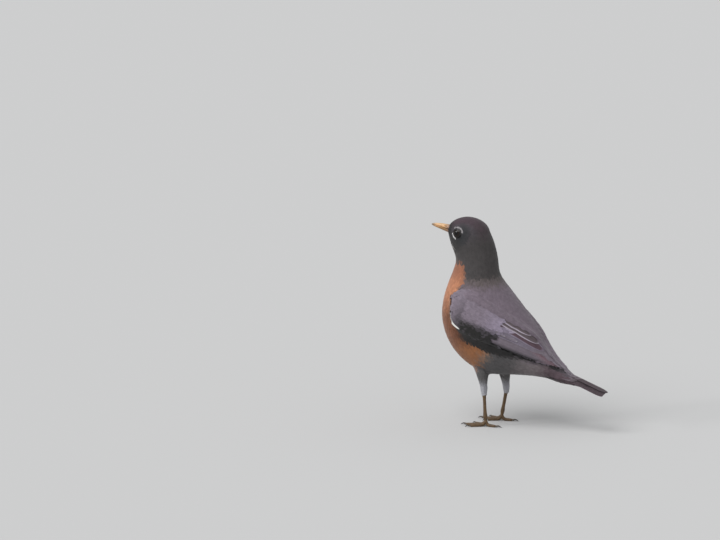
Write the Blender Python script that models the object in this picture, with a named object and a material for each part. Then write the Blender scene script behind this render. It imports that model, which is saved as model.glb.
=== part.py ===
"""American robin (a thrush) standing upright on both feet: a life-size still model in named solids.

Sizes are in millimetres and are turned into metres as each mesh is made. The bird faces -Y, its left
side is at +X and its feet stand on z = 0. A place is written (across, forward, up), where across is
positive to the bird's left; a profile point is written (forward, up).
"""
import math

import bmesh
import bpy
from mathutils import Matrix, Vector

MM = 0.001
GAP = 0.3

# Head, neck and trunk: one loft whose rings each run from a front (or belly) point to a back point.
#            front point      back point       half width  egg: narrow front > 0
BODY_STATIONS = (
    ((49.0, 194.5), (6.4, 195.5), 13.6, 0.16),
    ((45.4, 181.0), (1.2, 183.0), 14.4, 0.10),
    ((40.4, 167.0), (-2.2, 168.0), 16.5, 0.04),
    ((43.0, 156.0), (-3.6, 157.0), 19.5, 0.00),
    ((48.5, 141.0), (-6.8, 148.5), 25.0, -0.02),
    ((53.0, 125.0), (-15.2, 138.0), 30.5, -0.02),
    ((54.5, 107.0), (-27.5, 123.5), 33.5, 0.00),
    ((49.5, 87.6), (-38.5, 110.0), 34.0, 0.00),
    ((38.5, 71.0), (-48.0, 98.0), 32.5, 0.00),
    ((22.0, 58.5), (-55.0, 86.5), 29.5, 0.00),
    ((2.0, 52.5), (-61.5, 77.0), 25.0, 0.00),
    ((-22.0, 53.5), (-67.5, 70.0), 19.5, 0.00),
    ((-45.0, 53.5), (-72.5, 65.5), 15.0, 0.00),
    ((-62.0, 51.5), (-77.5, 62.5), 11.5, 0.00),
)
CROWN_HEIGHT = 14.8
CROWN_LEAN = 1.5
CROWN_RINGS = 6
HEAD_END = 1.10
NECK_END = 3.30
HEAD_TURN = math.radians(8.0)
TURN_AXIS_FORWARD = 20.0
BODY_SIDES = 32

# Bill
BILL_BASE = (46.0, 196.4)
BILL_LENGTH = 20.4
BILL_PITCH = math.radians(14.5)
BILL_HALF_WIDTH = 4.0
BILL_HOOK = 0.9
UPPER_BILL_DEPTH = 4.3
LOWER_BILL_DEPTH = 4.2

# Eyes
EYE_CENTRE = (8.7, 36.2, 194.4)
EYE_RADIUS = 5.0

# Wings: edges as (station, angle in degrees from the breast line), from the bend to the tip
WING_LOWER_EDGE = ((5.0, 60), (5.7, 58), (6.3, 60), (6.9, 74), (7.5, 92), (8.3, 107),
                   (9.3, 119), (10.4, 130), (11.5, 140), (12.4, 148))
WING_UPPER_EDGE = ((4.5, 65), (4.3, 84), (4.7, 103), (5.4, 121), (6.2, 138), (7.1, 153),
                   (8.2, 165), (9.6, 172), (11.2, 173), (12.8, 168))
WING_STEPS_ALONG = 18
WING_STEPS_ACROSS = 7
WING_CROWN_BEND = 4.6
WING_CROWN_TIP = 2.4
WING_EDGE_OUT = 1.2
WING_BACK_EDGE_RISE = 1.8
WING_DEPTH_IN = 1.8

# Tail: rings from the root to the tip
#            under point      upper point      half width
TAIL_STATIONS = (
    ((-62.3, 51.2), (-77.9, 62.2), 11.5),
    ((-78.0, 47.8), (-85.0, 57.2), 11.0),
    ((-96.0, 45.2), (-98.0, 51.4), 11.8),
    ((-120.2, 39.6), (-121.2, 42.6), 10.2),
)
TAIL_DROOP = 1.8
TAIL_SIDES = 18
TAIL_RINGS = 12

# Legs: each side's own places, as (across, forward, up)
LEGS = {
    "left": {"side": 1, "hip": (13.5, 8.5, 62.0), "ankle": (15.0, 5.2, 34.5), "foot": (15.5, 3.4, 4.4)},
    "right": {"side": -1, "hip": (-13.5, -4.5, 60.0), "ankle": (-15.0, -7.2, 32.0), "foot": (-15.5, -2.0, 4.4)},
}
THIGH_RADIUS_TOP = 8.8
THIGH_RADIUS_ANKLE = 3.1
SHANK_RADIUS = 1.45
ANKLE_RADIUS = 2.2
FOOT_BALL_RADIUS = 2.2

# Toes: name, angle from straight ahead (outwards > 0), length, claw length
TOES = (
    ("inner", -27.0, 14.0, 5.0),
    ("middle", 3.0, 20.0, 5.6),
    ("outer", 31.0, 15.5, 5.0),
    ("hind", 176.0, 11.0, 6.4),
)
TOE_RADIUS_ROOT = 1.75
TOE_RADIUS_TIP = 1.25
TOE_SIDES = 8
CLAW_GAP = 0.55
FLOOR_SLAB = 10.0

COLOURS = {
    "head": (0.045, 0.040, 0.038),
    "neck": (0.055, 0.048, 0.046),
    "trunk": (0.40, 0.13, 0.05),
    "tail": (0.060, 0.042, 0.048),
    "wing": (0.14, 0.12, 0.14),
    "thigh": (0.13, 0.12, 0.12),
    "shank": (0.09, 0.055, 0.025),
    "foot": (0.10, 0.062, 0.028),
    "claw": (0.03, 0.024, 0.02),
    "eye": (0.008, 0.005, 0.004),
    "bill_upper": (0.80, 0.60, 0.30),
    "bill_lower": (0.72, 0.42, 0.12),
}
GLOSS = {"eye": 0.05, "claw": 0.3, "bill_upper": 0.38, "bill_lower": 0.38, "shank": 0.5, "foot": 0.5}


def clear_scene():
    """Remove every object the file starts with."""
    for obj in list(bpy.data.objects):
        bpy.data.objects.remove(obj)


def place(across, forward, up):
    """The world point, in millimetres, of a place on the bird."""
    return Vector((across, -forward, up))


def blend_rows(rows, where):
    """Catmull-Rom blend of equally long rows of numbers at a fractional row number."""
    index = min(max(int(where), 0), len(rows) - 2)
    part = where - index
    before, start, end, after = (rows[min(max(index + k, 0), len(rows) - 1)] for k in (-1, 0, 1, 2))
    blended = []
    for a, b, c, d in zip(before, start, end, after):
        pull = 2 * a - 5 * b + 4 * c - d
        swing = 3 * b - a - 3 * c + d
        blended.append(0.5 * (2 * b + part * (c - a) + part ** 2 * pull + part ** 3 * swing))
    return blended


def flat_rows(stations):
    """Each station as one plain row of numbers."""
    return [tuple(front) + tuple(back) + tuple(rest) for front, back, *rest in stations]


def turn_head(point, amount):
    """Turn a point about the neck's upright line, towards the bird's left."""
    axis = place(0, TURN_AXIS_FORWARD, 0)
    return axis + Matrix.Rotation(HEAD_TURN * amount, 3, "Z") @ (point - axis)


def turn_at(station):
    """How much of the head's turn a body ring takes: all at the head, none below the neck."""
    part = min(max((NECK_END - station) / (NECK_END - HEAD_END), 0.0), 1.0)
    return part * part * (3 - 2 * part)


def body_point(station, angle):
    """A point on the feathered body: angle 0 is the breast line, 180 degrees the back line."""
    front_f, front_z, back_f, back_z, half_width, egg = blend_rows(BODY_ROWS, station)
    middle = place(0, (front_f + back_f) / 2, (front_z + back_z) / 2)
    reach = place(0, (front_f - back_f) / 2, (front_z - back_z) / 2)
    side = place(half_width * (1 - egg * math.cos(angle)), 0, 0)
    return turn_head(middle + reach * math.cos(angle) + side * math.sin(angle), turn_at(station))


def crown_point(rise, angle):
    """A point on the domed crown: rise is 0 at the first station and 90 degrees at the top."""
    front_f, front_z, back_f, back_z, half_width, egg = BODY_ROWS[0]
    size = math.cos(rise) ** 1.12
    middle = place(0, (front_f + back_f) / 2 + CROWN_LEAN * math.sin(rise),
                   (front_z + back_z) / 2 + CROWN_HEIGHT * math.sin(rise))
    reach = place(0, (front_f - back_f) / 2, (front_z - back_z) / 2) * size
    side = place(half_width * (1 - egg * math.cos(angle)) * size, 0, 0)
    return turn_head(middle + reach * math.cos(angle) + side * math.sin(angle), 1.0)


def body_normal(station, angle):
    """The outward direction of the body's surface."""
    step = 0.01
    along = body_point(station + step, angle) - body_point(station - step, angle)
    around = body_point(station, angle + step) - body_point(station, angle - step)
    return along.cross(around).normalized() * -1


def ring_of(point_at, sides):
    """Points once round a ring."""
    return [point_at(2 * math.pi * k / sides) for k in range(sides)]


def material_for(name):
    """A Principled material with the sub-part's own colour and roughness."""
    kind = name if name in COLOURS else name.split("_")[0]
    material = bpy.data.materials.new(name)
    material.use_nodes = True
    shader = material.node_tree.nodes["Principled BSDF"]
    shader.inputs["Base Color"].default_value = (*COLOURS[kind], 1.0)
    shader.inputs["Roughness"].default_value = GLOSS.get(kind, 0.8)
    shader.inputs["Metallic"].default_value = 0.0
    return material


def finish(name, bm):
    """Turn a closed bmesh in millimetres into a smooth-shaded object with its own material."""
    bmesh.ops.recalc_face_normals(bm, faces=bm.faces)
    bmesh.ops.scale(bm, vec=(MM, MM, MM), verts=bm.verts)
    mesh = bpy.data.meshes.new(name)
    bm.to_mesh(mesh)
    bm.free()
    mesh.shade_smooth()
    mesh.set_sharp_from_angle(angle=math.radians(40))
    obj = bpy.data.objects.new(name, mesh)
    bpy.context.scene.collection.objects.link(obj)
    mesh.materials.append(material_for(name))
    return obj


def tube(rings, pointed=False):
    """A closed bmesh through rings of points, its ends flat, or its last end drawn to a point."""
    bm = bmesh.new()
    loops = [[bm.verts.new(point) for point in ring] for ring in rings]
    count = len(rings[0])
    for lower, upper in zip(loops, loops[1:]):
        for k in range(count):
            bm.faces.new((lower[k], lower[(k + 1) % count], upper[(k + 1) % count], upper[k]))
    bm.faces.new(loops[0][::-1])
    if pointed:
        tip = bm.verts.new(sum(rings[-1], Vector()) / count)
        for k in range(count):
            bm.faces.new((loops[-1][k], loops[-1][(k + 1) % count], tip))
    else:
        bm.faces.new(loops[-1])
    return bm


def plate(outer, inner):
    """A closed bmesh between two grids of points of the same shape."""
    bm = bmesh.new()
    top = [[bm.verts.new(point) for point in row] for row in outer]
    bottom = [[bm.verts.new(point) for point in row] for row in inner]
    rows, columns = len(top), len(top[0])
    for i in range(rows - 1):
        for j in range(columns - 1):
            bm.faces.new((top[i][j], top[i][j + 1], top[i + 1][j + 1], top[i + 1][j]))
            bm.faces.new((bottom[i][j], bottom[i + 1][j], bottom[i + 1][j + 1], bottom[i][j + 1]))
    rim = [(0, j) for j in range(columns)] + [(i, columns - 1) for i in range(1, rows)]
    rim += [(rows - 1, j) for j in range(columns - 2, -1, -1)] + [(i, 0) for i in range(rows - 2, 0, -1)]
    for (i, j), (m, n) in zip(rim, rim[1:] + rim[:1]):
        bm.faces.new((top[i][j], bottom[i][j], bottom[m][n], top[m][n]))
    return bm


def round_tube(points, radii, sides, flatten=1.0, pointed=False):
    """A tube of circles square to a path; flatten thins it up and down."""
    rings = []
    for k, (centre, radius) in enumerate(zip(points, radii)):
        ahead = (points[min(k + 1, len(points) - 1)] - points[max(k - 1, 0)]).normalized()
        across = ahead.cross(Vector((0.02, 0.01, 1.0))).normalized()
        if abs(ahead.z) > 0.8:
            across = ahead.cross(Vector((0.0, 1.0, 0.0))).normalized()
        upward = across.cross(ahead)
        rings.append(ring_of(
            lambda turn: centre + across * radius * math.cos(turn) + upward * radius * flatten * math.sin(turn),
            sides))
    return tube(rings, pointed)


def grown_cutter(obj, name):
    """A hidden copy of an object, thicker by the gap all round, for cutting its neighbour."""
    bm = bmesh.new()
    bm.from_mesh(obj.data)
    bm.normal_update()
    moves = [(vert, vert.normal * GAP * MM * vert.calc_shell_factor()) for vert in bm.verts]
    for vert, move in moves:
        vert.co += move
    mesh = bpy.data.meshes.new(name)
    bm.to_mesh(mesh)
    bm.free()
    cutter = bpy.data.objects.new(name, mesh)
    bpy.context.scene.collection.objects.link(cutter)
    cutter.hide_render = True
    cutter.display_type = "WIRE"
    return cutter


def boolean(obj, other, operation, solver="EXACT"):
    """Cut or join an object with another."""
    modifier = obj.modifiers.new(f"{operation.lower()}_{other.name}", "BOOLEAN")
    modifier.object = other
    modifier.operation = operation
    modifier.solver = solver


def body_length(name, first, last, rings):
    """The stretch of the body between two stations, closed flat at both ends."""
    stations = [first + (last - first) * k / rings for k in range(rings + 1)]
    return finish(name, tube([ring_of(lambda a: body_point(s, a), BODY_SIDES) for s in stations]))


def make_head():
    """The head, from the crown's top down to its cut at the throat."""
    rises = [math.pi / 2 * (1 - (k + 0.5) / (CROWN_RINGS + 0.5)) for k in range(CROWN_RINGS)]
    rings = [ring_of(lambda a: crown_point(rise, a), BODY_SIDES) for rise in rises]
    steps = 4
    for k in range(steps + 1):
        rings.append(ring_of(lambda a: body_point(HEAD_END * k / steps, a), BODY_SIDES))
    return finish("head", tube(rings[::-1], pointed=True))


def make_neck():
    """The neck, from the throat to the shoulders."""
    return body_length("neck", HEAD_END + 0.03, NECK_END, 7)


def make_trunk():
    """The trunk: breast, belly, back, rump and vent."""
    return body_length("trunk", NECK_END + 0.03, len(BODY_STATIONS) - 1, 26)


def bill_profile(part):
    """How wide and deep the bill is at a part of its length, against its base."""
    width = (1 - part) ** 0.75
    depth = (1 - part) ** 0.62
    return 0.06 + 0.94 * width, 0.08 + 0.92 * depth


def make_bill(name, depth, up):
    """One half of the bill: a half-round horn that tapers and bends down a little to its tip."""
    rings = []
    steps = 9
    for k in range(steps + 1):
        part = k / steps
        width, height = bill_profile(part)
        sag = -BILL_HOOK * part ** 3
        forward = BILL_BASE[0] + BILL_LENGTH * part * math.cos(BILL_PITCH)
        seam = BILL_BASE[1] + BILL_LENGTH * part * math.sin(BILL_PITCH) + sag + up * GAP / 2
        arc = [math.pi * j / 8 for j in range(9)]
        rings.append([
            turn_head(place(BILL_HALF_WIDTH * width * math.cos(a), forward,
                            seam + up * depth * height * math.sin(a) ** 0.8), 1.0)
            for a in arc])
    return finish(name, tube(rings))


def make_eye(name, side):
    """One eyeball."""
    across, forward, up = EYE_CENTRE
    bm = bmesh.new()
    bmesh.ops.create_uvsphere(bm, u_segments=16, v_segments=10, radius=EYE_RADIUS)
    bmesh.ops.rotate(bm, matrix=Matrix.Rotation(math.pi / 2, 3, "Y"), verts=bm.verts)
    bmesh.ops.translate(bm, vec=turn_head(place(side * across, forward, up), 1.0), verts=bm.verts)
    return finish(name, bm)


def wing_thickness(along, across):
    """How far the folded wing stands out of the body's own surface."""
    crown = WING_CROWN_BEND + (WING_CROWN_TIP - WING_CROWN_BEND) * along ** 0.8
    lead = math.sin(min(along / 0.16, 1.0) * math.pi / 2) ** 0.6
    arch = (1 - abs(2 * across - 1) ** 2.6) * lead
    return WING_EDGE_OUT + WING_BACK_EDGE_RISE * across * along + crown * arch


def make_wing(name, side):
    """One folded wing, a thick curved plate from its bend at the breast to its tip over the tail."""
    outer, inner = [], []
    for i in range(WING_STEPS_ALONG + 1):
        along = i / WING_STEPS_ALONG
        low = blend_rows(WING_LOWER_EDGE, along * (len(WING_LOWER_EDGE) - 1))
        high = blend_rows(WING_UPPER_EDGE, along * (len(WING_UPPER_EDGE) - 1))
        out_row, in_row = [], []
        for j in range(WING_STEPS_ACROSS + 1):
            across = j / WING_STEPS_ACROSS
            bow = 0.30 * math.sin(math.pi * across) * (1 - along) ** 3
            station = low[0] + (high[0] - low[0]) * across
            angle = math.radians(low[1] + (high[1] - low[1]) * across - 22 * bow)
            point = body_point(station, angle)
            normal = body_normal(station, angle)
            out_row.append(point + normal * wing_thickness(along, across))
            in_row.append(point - normal * WING_DEPTH_IN)
        outer.append(out_row)
        inner.append(in_row)
    for row in outer + inner:
        for point in row:
            point.x *= side
    return finish(name, plate(outer, inner))


def make_tail():
    """The folded tail: thick at its root, flat and gently roofed towards its tip."""
    rows = flat_rows(TAIL_STATIONS)
    rings = []
    for k in range(TAIL_RINGS + 1):
        part = k / TAIL_RINGS
        low_f, low_z, high_f, high_z, half_width = blend_rows(rows, part * (len(rows) - 1))
        middle = place(0, (low_f + high_f) / 2, (low_z + high_z) / 2)
        rise = place(0, (high_f - low_f) / 2, (high_z - low_z) / 2)
        droop = TAIL_DROOP * part ** 0.5
        ring = []
        for j in range(TAIL_SIDES):
            turn = 2 * math.pi * j / TAIL_SIDES
            across = math.copysign(abs(math.sin(turn)) ** 0.8, math.sin(turn))
            upward = math.copysign(abs(math.cos(turn)) ** 0.8, math.cos(turn))
            ring.append(middle + rise * upward + place(half_width * across, 0, -droop * across ** 2))
        rings.append(ring)
    return finish("tail", tube(rings))


def make_thigh(name, leg):
    """The feathered upper leg, from inside the flank to the ankle."""
    hip, ankle, foot = place(*leg["hip"]), place(*leg["ankle"]), place(*leg["foot"])
    above_ankle = ankle - (foot - ankle).normalized()
    steps = 7
    points = [hip.lerp(above_ankle, k / steps) for k in range(steps + 1)] + [ankle]
    radii = [THIGH_RADIUS_ANKLE + (THIGH_RADIUS_TOP - THIGH_RADIUS_ANKLE) * (1 - k / steps) ** 1.5
             for k in range(steps + 1)] + [THIGH_RADIUS_ANKLE]
    return finish(name, round_tube(points, radii, 14))


def make_shank(name, leg):
    """The bare, scaled leg from the ankle to the foot."""
    ankle, foot = place(*leg["ankle"]), place(*leg["foot"])
    axis = (foot - ankle).normalized()
    start = ankle + axis * GAP
    end = foot - axis * (FOOT_BALL_RADIUS + GAP)
    steps = 7
    points = [start.lerp(end, k / steps) for k in range(steps + 1)]
    radii = [SHANK_RADIUS + (ANKLE_RADIUS - SHANK_RADIUS) * (abs(2 * k / steps - 0.9) / 0.9) ** 3
             for k in range(steps + 1)]
    radii[-1] = SHANK_RADIUS
    return finish(name, round_tube(points, radii, 10))


def toe_path(foot, side, angle, length):
    """Points along one toe: down from the ball of the foot, then along the floor."""
    bearing = math.radians(angle) * side
    ahead = place(math.sin(bearing), math.cos(bearing), 0)
    ball = place(*foot)
    steps = 6
    points = []
    for k in range(steps + 1):
        part = k / steps
        radius = TOE_RADIUS_ROOT + (TOE_RADIUS_TIP - TOE_RADIUS_ROOT) * part
        height = 0.86 * radius + (ball.z - 0.9 * radius) * max(0.0, 1 - part / 0.4) ** 2
        points.append(Vector((ball.x, ball.y, 0)) + ahead * length * part + Vector((0, 0, height)))
    return points, ahead


def make_foot(name, leg):
    """The ball of the foot with its four toes, flat where they press on the floor."""
    bm = bmesh.new()
    bmesh.ops.create_uvsphere(bm, u_segments=10, v_segments=6, radius=FOOT_BALL_RADIUS)
    bmesh.ops.translate(bm, vec=place(*leg["foot"]), verts=bm.verts)
    foot = finish(name, bm)
    for toe, angle, length, _claw in TOES:
        points, _ahead = toe_path(leg["foot"], leg["side"], angle, length)
        radii = [TOE_RADIUS_ROOT + (TOE_RADIUS_TIP - TOE_RADIUS_ROOT) * k / (len(points) - 1)
                 for k in range(len(points))]
        boolean(foot, hidden(finish(f"{name}_{toe}_toe", round_tube(points, radii, TOE_SIDES))), "UNION")
    slab = bmesh.new()
    bmesh.ops.create_cube(slab, size=1.0)
    bmesh.ops.scale(slab, vec=(80, 80, FLOOR_SLAB), verts=slab.verts)
    bmesh.ops.translate(slab, vec=place(leg["foot"][0], 0, -FLOOR_SLAB / 2), verts=slab.verts)
    boolean(foot, hidden(finish(f"{name}_floor_cut", slab)), "DIFFERENCE")
    return foot


def hidden(obj):
    """Mark an object as a guide that is only cut with or joined on."""
    obj.hide_render = True
    obj.display_type = "WIRE"
    return obj


def make_claw(name, leg, angle, length, claw_length):
    """One claw: a curved horn that rises a little from the toe and comes down to its point."""
    points, ahead = toe_path(leg["foot"], leg["side"], angle, length)
    root = points[-1] + ahead * CLAW_GAP
    steps = 5
    path, radii = [], []
    for k in range(steps + 1):
        part = k / steps
        lift = 0.9 * math.sin(math.pi * min(part * 1.1, 1.0)) - 0.62 * part ** 2
        path.append(root + ahead * claw_length * part + Vector((0, 0, lift)))
        radii.append(0.95 * (1 - part) ** 0.8 + 0.12)
    return finish(name, round_tube(path, radii, 7))


def make_leg(side_name, trunk):
    """Every piece of one leg, with the trunk hollowed to take the thigh."""
    leg = LEGS[side_name]
    thigh = make_thigh(f"thigh_{side_name}", leg)
    boolean(trunk, grown_cutter(thigh, f"thigh_room_{side_name}"), "DIFFERENCE")
    pieces = [thigh, make_shank(f"shank_{side_name}", leg), make_foot(f"foot_{side_name}", leg)]
    for toe, angle, length, claw_length in TOES:
        pieces.append(make_claw(f"claw_{side_name}_{toe}", leg, angle, length, claw_length))
    return pieces


def centre_on_origin(pieces):
    """Hang everything on one empty, placed so that the bird stands centred over the origin."""
    corners = [vert.co for piece in pieces for vert in piece.data.vertices]
    middle_x = (min(c.x for c in corners) + max(c.x for c in corners)) / 2
    middle_y = (min(c.y for c in corners) + max(c.y for c in corners)) / 2
    stand_point = bpy.data.objects.new("robin", None)
    bpy.context.scene.collection.objects.link(stand_point)
    stand_point.location = (-middle_x, -middle_y, 0.0)
    for obj in bpy.data.objects:
        if obj is not stand_point:
            obj.parent = stand_point


def main():
    clear_scene()
    head, trunk, tail = make_head(), make_trunk(), make_tail()
    pieces = [head, make_neck(), trunk, tail]
    for name, depth, up in (("bill_upper", UPPER_BILL_DEPTH, 1), ("bill_lower", LOWER_BILL_DEPTH, -1)):
        bill = make_bill(name, depth, up)
        boolean(head, grown_cutter(bill, f"{name}_room"), "DIFFERENCE")
        pieces.append(bill)
    for side_name, leg in LEGS.items():
        eye = make_eye(f"eye_{side_name}", leg["side"])
        boolean(head, grown_cutter(eye, f"eye_room_{side_name}"), "DIFFERENCE")
        wing = make_wing(f"wing_{side_name}", leg["side"])
        wing_room = grown_cutter(wing, f"wing_room_{side_name}")
        boolean(trunk, wing_room, "DIFFERENCE", "MANIFOLD")
        boolean(tail, wing_room, "DIFFERENCE", "MANIFOLD")
        pieces += [eye, wing] + make_leg(side_name, trunk)
    centre_on_origin(pieces)


BODY_ROWS = flat_rows(BODY_STATIONS)
main()
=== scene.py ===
"""The american robin's looks: skin, a coat of modelled feathers, quills, bill, eyes, lids, legs and claws.

Sizes are in metres and places come from the frame's boxes. The bird faces -Y, its left is +X, and up is +Z.
A place on the body is told by its share of the spine line, from 0 at the bill's root to 1 at the tail's tip,
and by its turn round that line in degrees, from 0 along the breast to 180 along the back.
"""
import math

import bmesh
import bpy
import numpy as np
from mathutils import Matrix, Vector
from mathutils.bvhtree import BVHTree
from mathutils.kdtree import KDTree


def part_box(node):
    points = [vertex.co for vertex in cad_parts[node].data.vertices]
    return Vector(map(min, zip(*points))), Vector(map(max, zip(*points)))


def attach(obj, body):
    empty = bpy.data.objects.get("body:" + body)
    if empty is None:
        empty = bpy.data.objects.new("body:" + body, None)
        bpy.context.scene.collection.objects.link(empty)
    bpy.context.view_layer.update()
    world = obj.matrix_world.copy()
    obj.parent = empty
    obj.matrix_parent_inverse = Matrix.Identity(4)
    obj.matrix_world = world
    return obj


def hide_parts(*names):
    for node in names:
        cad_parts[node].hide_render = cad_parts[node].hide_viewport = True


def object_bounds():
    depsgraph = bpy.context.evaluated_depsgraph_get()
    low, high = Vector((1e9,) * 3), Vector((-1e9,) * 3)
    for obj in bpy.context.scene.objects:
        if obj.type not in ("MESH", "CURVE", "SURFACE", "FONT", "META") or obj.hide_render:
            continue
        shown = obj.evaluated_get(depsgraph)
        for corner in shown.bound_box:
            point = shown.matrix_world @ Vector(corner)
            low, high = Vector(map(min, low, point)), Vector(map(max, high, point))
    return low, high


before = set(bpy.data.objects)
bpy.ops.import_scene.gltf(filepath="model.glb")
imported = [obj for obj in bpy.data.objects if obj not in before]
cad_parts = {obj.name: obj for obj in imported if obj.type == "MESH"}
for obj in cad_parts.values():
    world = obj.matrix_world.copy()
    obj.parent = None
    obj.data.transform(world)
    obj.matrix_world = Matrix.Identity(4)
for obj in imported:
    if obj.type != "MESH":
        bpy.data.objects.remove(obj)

CAD_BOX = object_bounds()
MM = 0.001
SIDES = ("left", "right")
RANDOM = np.random.default_rng(7)

# Camera: turned round the bird, raised over the floor, and aimed beside it
CAMERA_TURN = math.radians(112)
CAMERA_RISE = math.radians(12)
CAMERA_DISTANCE = 8.0
CAMERA_LENS = 400
AIM_RIGHT = -0.1607
AIM_UP = 0.0536

# The spine line: node, share of its box along y, share up z
SPINE_STOPS = (
    ("bill_upper", 1.00, 0.00), ("head", 0.50, 0.52), ("neck", 0.50, 0.50), ("trunk", 0.26, 0.84),
    ("trunk", 0.31, 0.62), ("trunk", 0.41, 0.39), ("trunk", 0.54, 0.21), ("trunk", 0.70, 0.12),
    ("trunk", 0.86, 0.08), ("tail", 1.00, 0.07),
)
SPINE_STEPS = 600
# How many places are measured against the line at a time
BATCH = 4000

# Skin: the depth of the coat over each node of flesh, in millimetres
COAT_DEPTH = {"head": 1.0, "neck": 1.8, "trunk": 2.4, "wing_left": 1.5, "wing_right": 1.5,
              "thigh_left": 1.2, "thigh_right": 1.2, "tail": 1.8}
FLESH = tuple(COAT_DEPTH)
FACE_DEPTH = 0.45 * MM
EYE_DEPTH = 0.8 * MM
SKIN_VOXEL = 0.9 * MM
SEAM_GROWTH = 0.25 * MM
TAIL_ROOT_SHARE = 0.5
EYE_FILLER = 5.1 * MM
BILL_FILLER = 4.4 * MM
EYE_BARE = 4.75 * MM
PALE_RING = (4.6 * MM, 5.35 * MM)

# Feather sizes along the spine line: share, gap between roots, length, width, all in millimetres
FEATHER_SIZES = (
    (0.00, 0.62, 2.1, 1.05), (0.04, 0.74, 3.0, 1.4), (0.09, 0.98, 4.4, 2.1), (0.15, 1.15, 5.6, 2.6),
    (0.22, 1.35, 7.0, 3.2), (0.30, 1.60, 8.8, 3.9), (0.60, 1.70, 9.5, 4.2), (0.75, 1.80, 12.0, 4.6),
    (1.00, 1.80, 13.0, 4.6),
)

# Wing edges from the bend to the tip: shares of the wing's box across (outwards), along y and up z
WING_LOW_STOPS = (
    (0.73, 0.03, 0.84), (0.80, 0.04, 0.59), (0.94, 0.27, 0.43),
    (0.78, 0.57, 0.27), (0.42, 0.82, 0.12), (0.15, 0.96, 0.05),
)
WING_HIGH_STOPS = (
    (0.70, 0.05, 0.94), (0.77, 0.20, 0.96), (0.68, 0.44, 0.78),
    (0.31, 0.68, 0.53), (0.04, 0.86, 0.23), (0.02, 0.99, 0.05),
)

# Plumage and bare-part tones, as shown on a screen. Some stand for light and shade: the lower breast's tone
# is painted shade, the tone below the wings a painted shadow, and the bill's top and underside a painted
# highlight and painted shade.
TONES = {
    "crown": (68, 55, 62), "cheek": (71, 66, 71), "lores": (30, 28, 29), "temple": (48, 49, 51),
    "chin_side": (50, 49, 49), "nape": (65, 62, 62), "mantle_front": (89, 81, 80),
    "mantle": (110, 99, 109), "rump": (116, 107, 116), "throat_white": (196, 190, 184),
    "throat_dark": (36, 33, 33), "upper_breast": (140, 92, 70), "breast": (172, 117, 87),
    "breast_shade": (94, 54, 32), "belly": (138, 90, 56), "belly_grey": (120, 102, 90),
    "flank": (77, 75, 76), "flank_back": (114, 106, 108), "under_tail": (84, 70, 76),
    "vent": (140, 134, 137), "thigh": (88, 86, 86), "thigh_low": (162, 162, 168),
    "under_wing_shadow": (34, 33, 33), "lesser": (120, 110, 121), "median": (132, 122, 135),
    "greater": (142, 132, 149), "wing_front": (26, 26, 23), "pale_edge": (160, 151, 163),
    "covert_tip": (150, 145, 150), "alula": (96, 92, 92), "alula_edge": (58, 55, 54),
    "white": (214, 212, 208), "ring_over": (144, 140, 142), "ring_under": (196, 194, 194),
    "secondary": (126, 117, 132), "tertial": (88, 78, 82), "tertial_dark": (84, 66, 74),
    "primary": (110, 101, 109), "primary_tip": (136, 110, 119), "lid": (44, 41, 42), "pupil": (5, 5, 6),
    "iris": (26, 16, 11), "bill_top_highlight": (200, 162, 118), "bill_side": (206, 160, 112),
    "bill_under_shade": (150, 112, 68), "bill_base": (150, 118, 100), "bill_tip": (128, 106, 82),
    "nostril": (44, 32, 26), "leg": (96, 74, 48), "leg_dark": (48, 36, 26), "claw": (46, 40, 36),
    "claw_pale": (92, 80, 68), "tail": (72, 60, 65), "tail_edge": (96, 86, 92),
}

# Attributes that hold a colour
COLOURS = ("plume", "tip", "edge")


def tone(name):
    """A plumage tone as linear red, green and blue."""
    shown = np.array(TONES[name]) / 255
    return np.where(shown <= 0.04045, shown / 12.92, ((shown + 0.055) / 1.055) ** 2.4)


def unit(vectors):
    """Rows of vectors at length one."""
    return vectors / np.maximum(np.linalg.norm(vectors, axis=-1, keepdims=True), 1e-12)


def ramp(low, high, value):
    """0 below low, 1 above high, and a soft ramp between."""
    part = np.clip((np.asarray(value, float) - low) / (high - low), 0.0, 1.0)
    return part * part * (3 - 2 * part)


def fade(low, high, value):
    """1 below low, 0 above high, and a soft ramp between."""
    return 1 - ramp(low, high, value)


def mixed(first, second, share):
    """Rows of colours between two others, each given as colours or as a tone's name."""
    first, second = [tone(colour) if isinstance(colour, str) else colour for colour in (first, second)]
    share = np.asarray(share, float)[:, None]
    return first * (1 - share) + second * share


def gather(items, field, width=1, kind=float):
    """A field of all of a mesh's items, in rows where it is wider than one."""
    values = np.empty(len(items) * width, kind)
    items.foreach_get(field, values)
    return values.reshape(-1, width) if width > 1 else values


def points_of(mesh):
    """A mesh's points as rows of x, y, z."""
    return gather(mesh.vertices, "co", 3)


def normals_of(mesh):
    """A mesh's point normals as rows of x, y, z."""
    return gather(mesh.vertices, "normal", 3)


def corners_of(mesh):
    """The point number at each corner of a mesh's faces."""
    return gather(mesh.loops, "vertex_index", 1, int)


def held(mesh, name, width):
    """A mesh's named attribute, in rows of the given width."""
    return gather(mesh.attributes[name].data, "vector" if width > 1 else "value", width, np.float32)


def hold(mesh, name, values):
    """Keep a value for each point of a mesh as a named attribute."""
    values = np.asarray(values, int if name == "kind" else np.float32)
    kind, field = "INT" if name == "kind" else "FLOAT", "value"
    if name in COLOURS:
        kind, field = "FLOAT_COLOR", "color"
        values = np.hstack([values, np.ones((len(values), 1), np.float32)])
    elif values.ndim > 1:
        kind, field = "FLOAT_VECTOR", "vector"
    mesh.attributes.new(name, kind, "POINT").data.foreach_set(field, values.ravel())


def set_map(mesh, name, spots):
    """Lay a mesh's points out on a flat map."""
    layer = mesh.uv_layers.new(name=name)
    layer.data.foreach_set("uv", spots[corners_of(mesh)].astype(np.float32).ravel())


def set_points(mesh, places):
    """Move a mesh's points to rows of x, y, z."""
    mesh.vertices.foreach_set("co", np.asarray(places, float).ravel())
    mesh.update()


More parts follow.
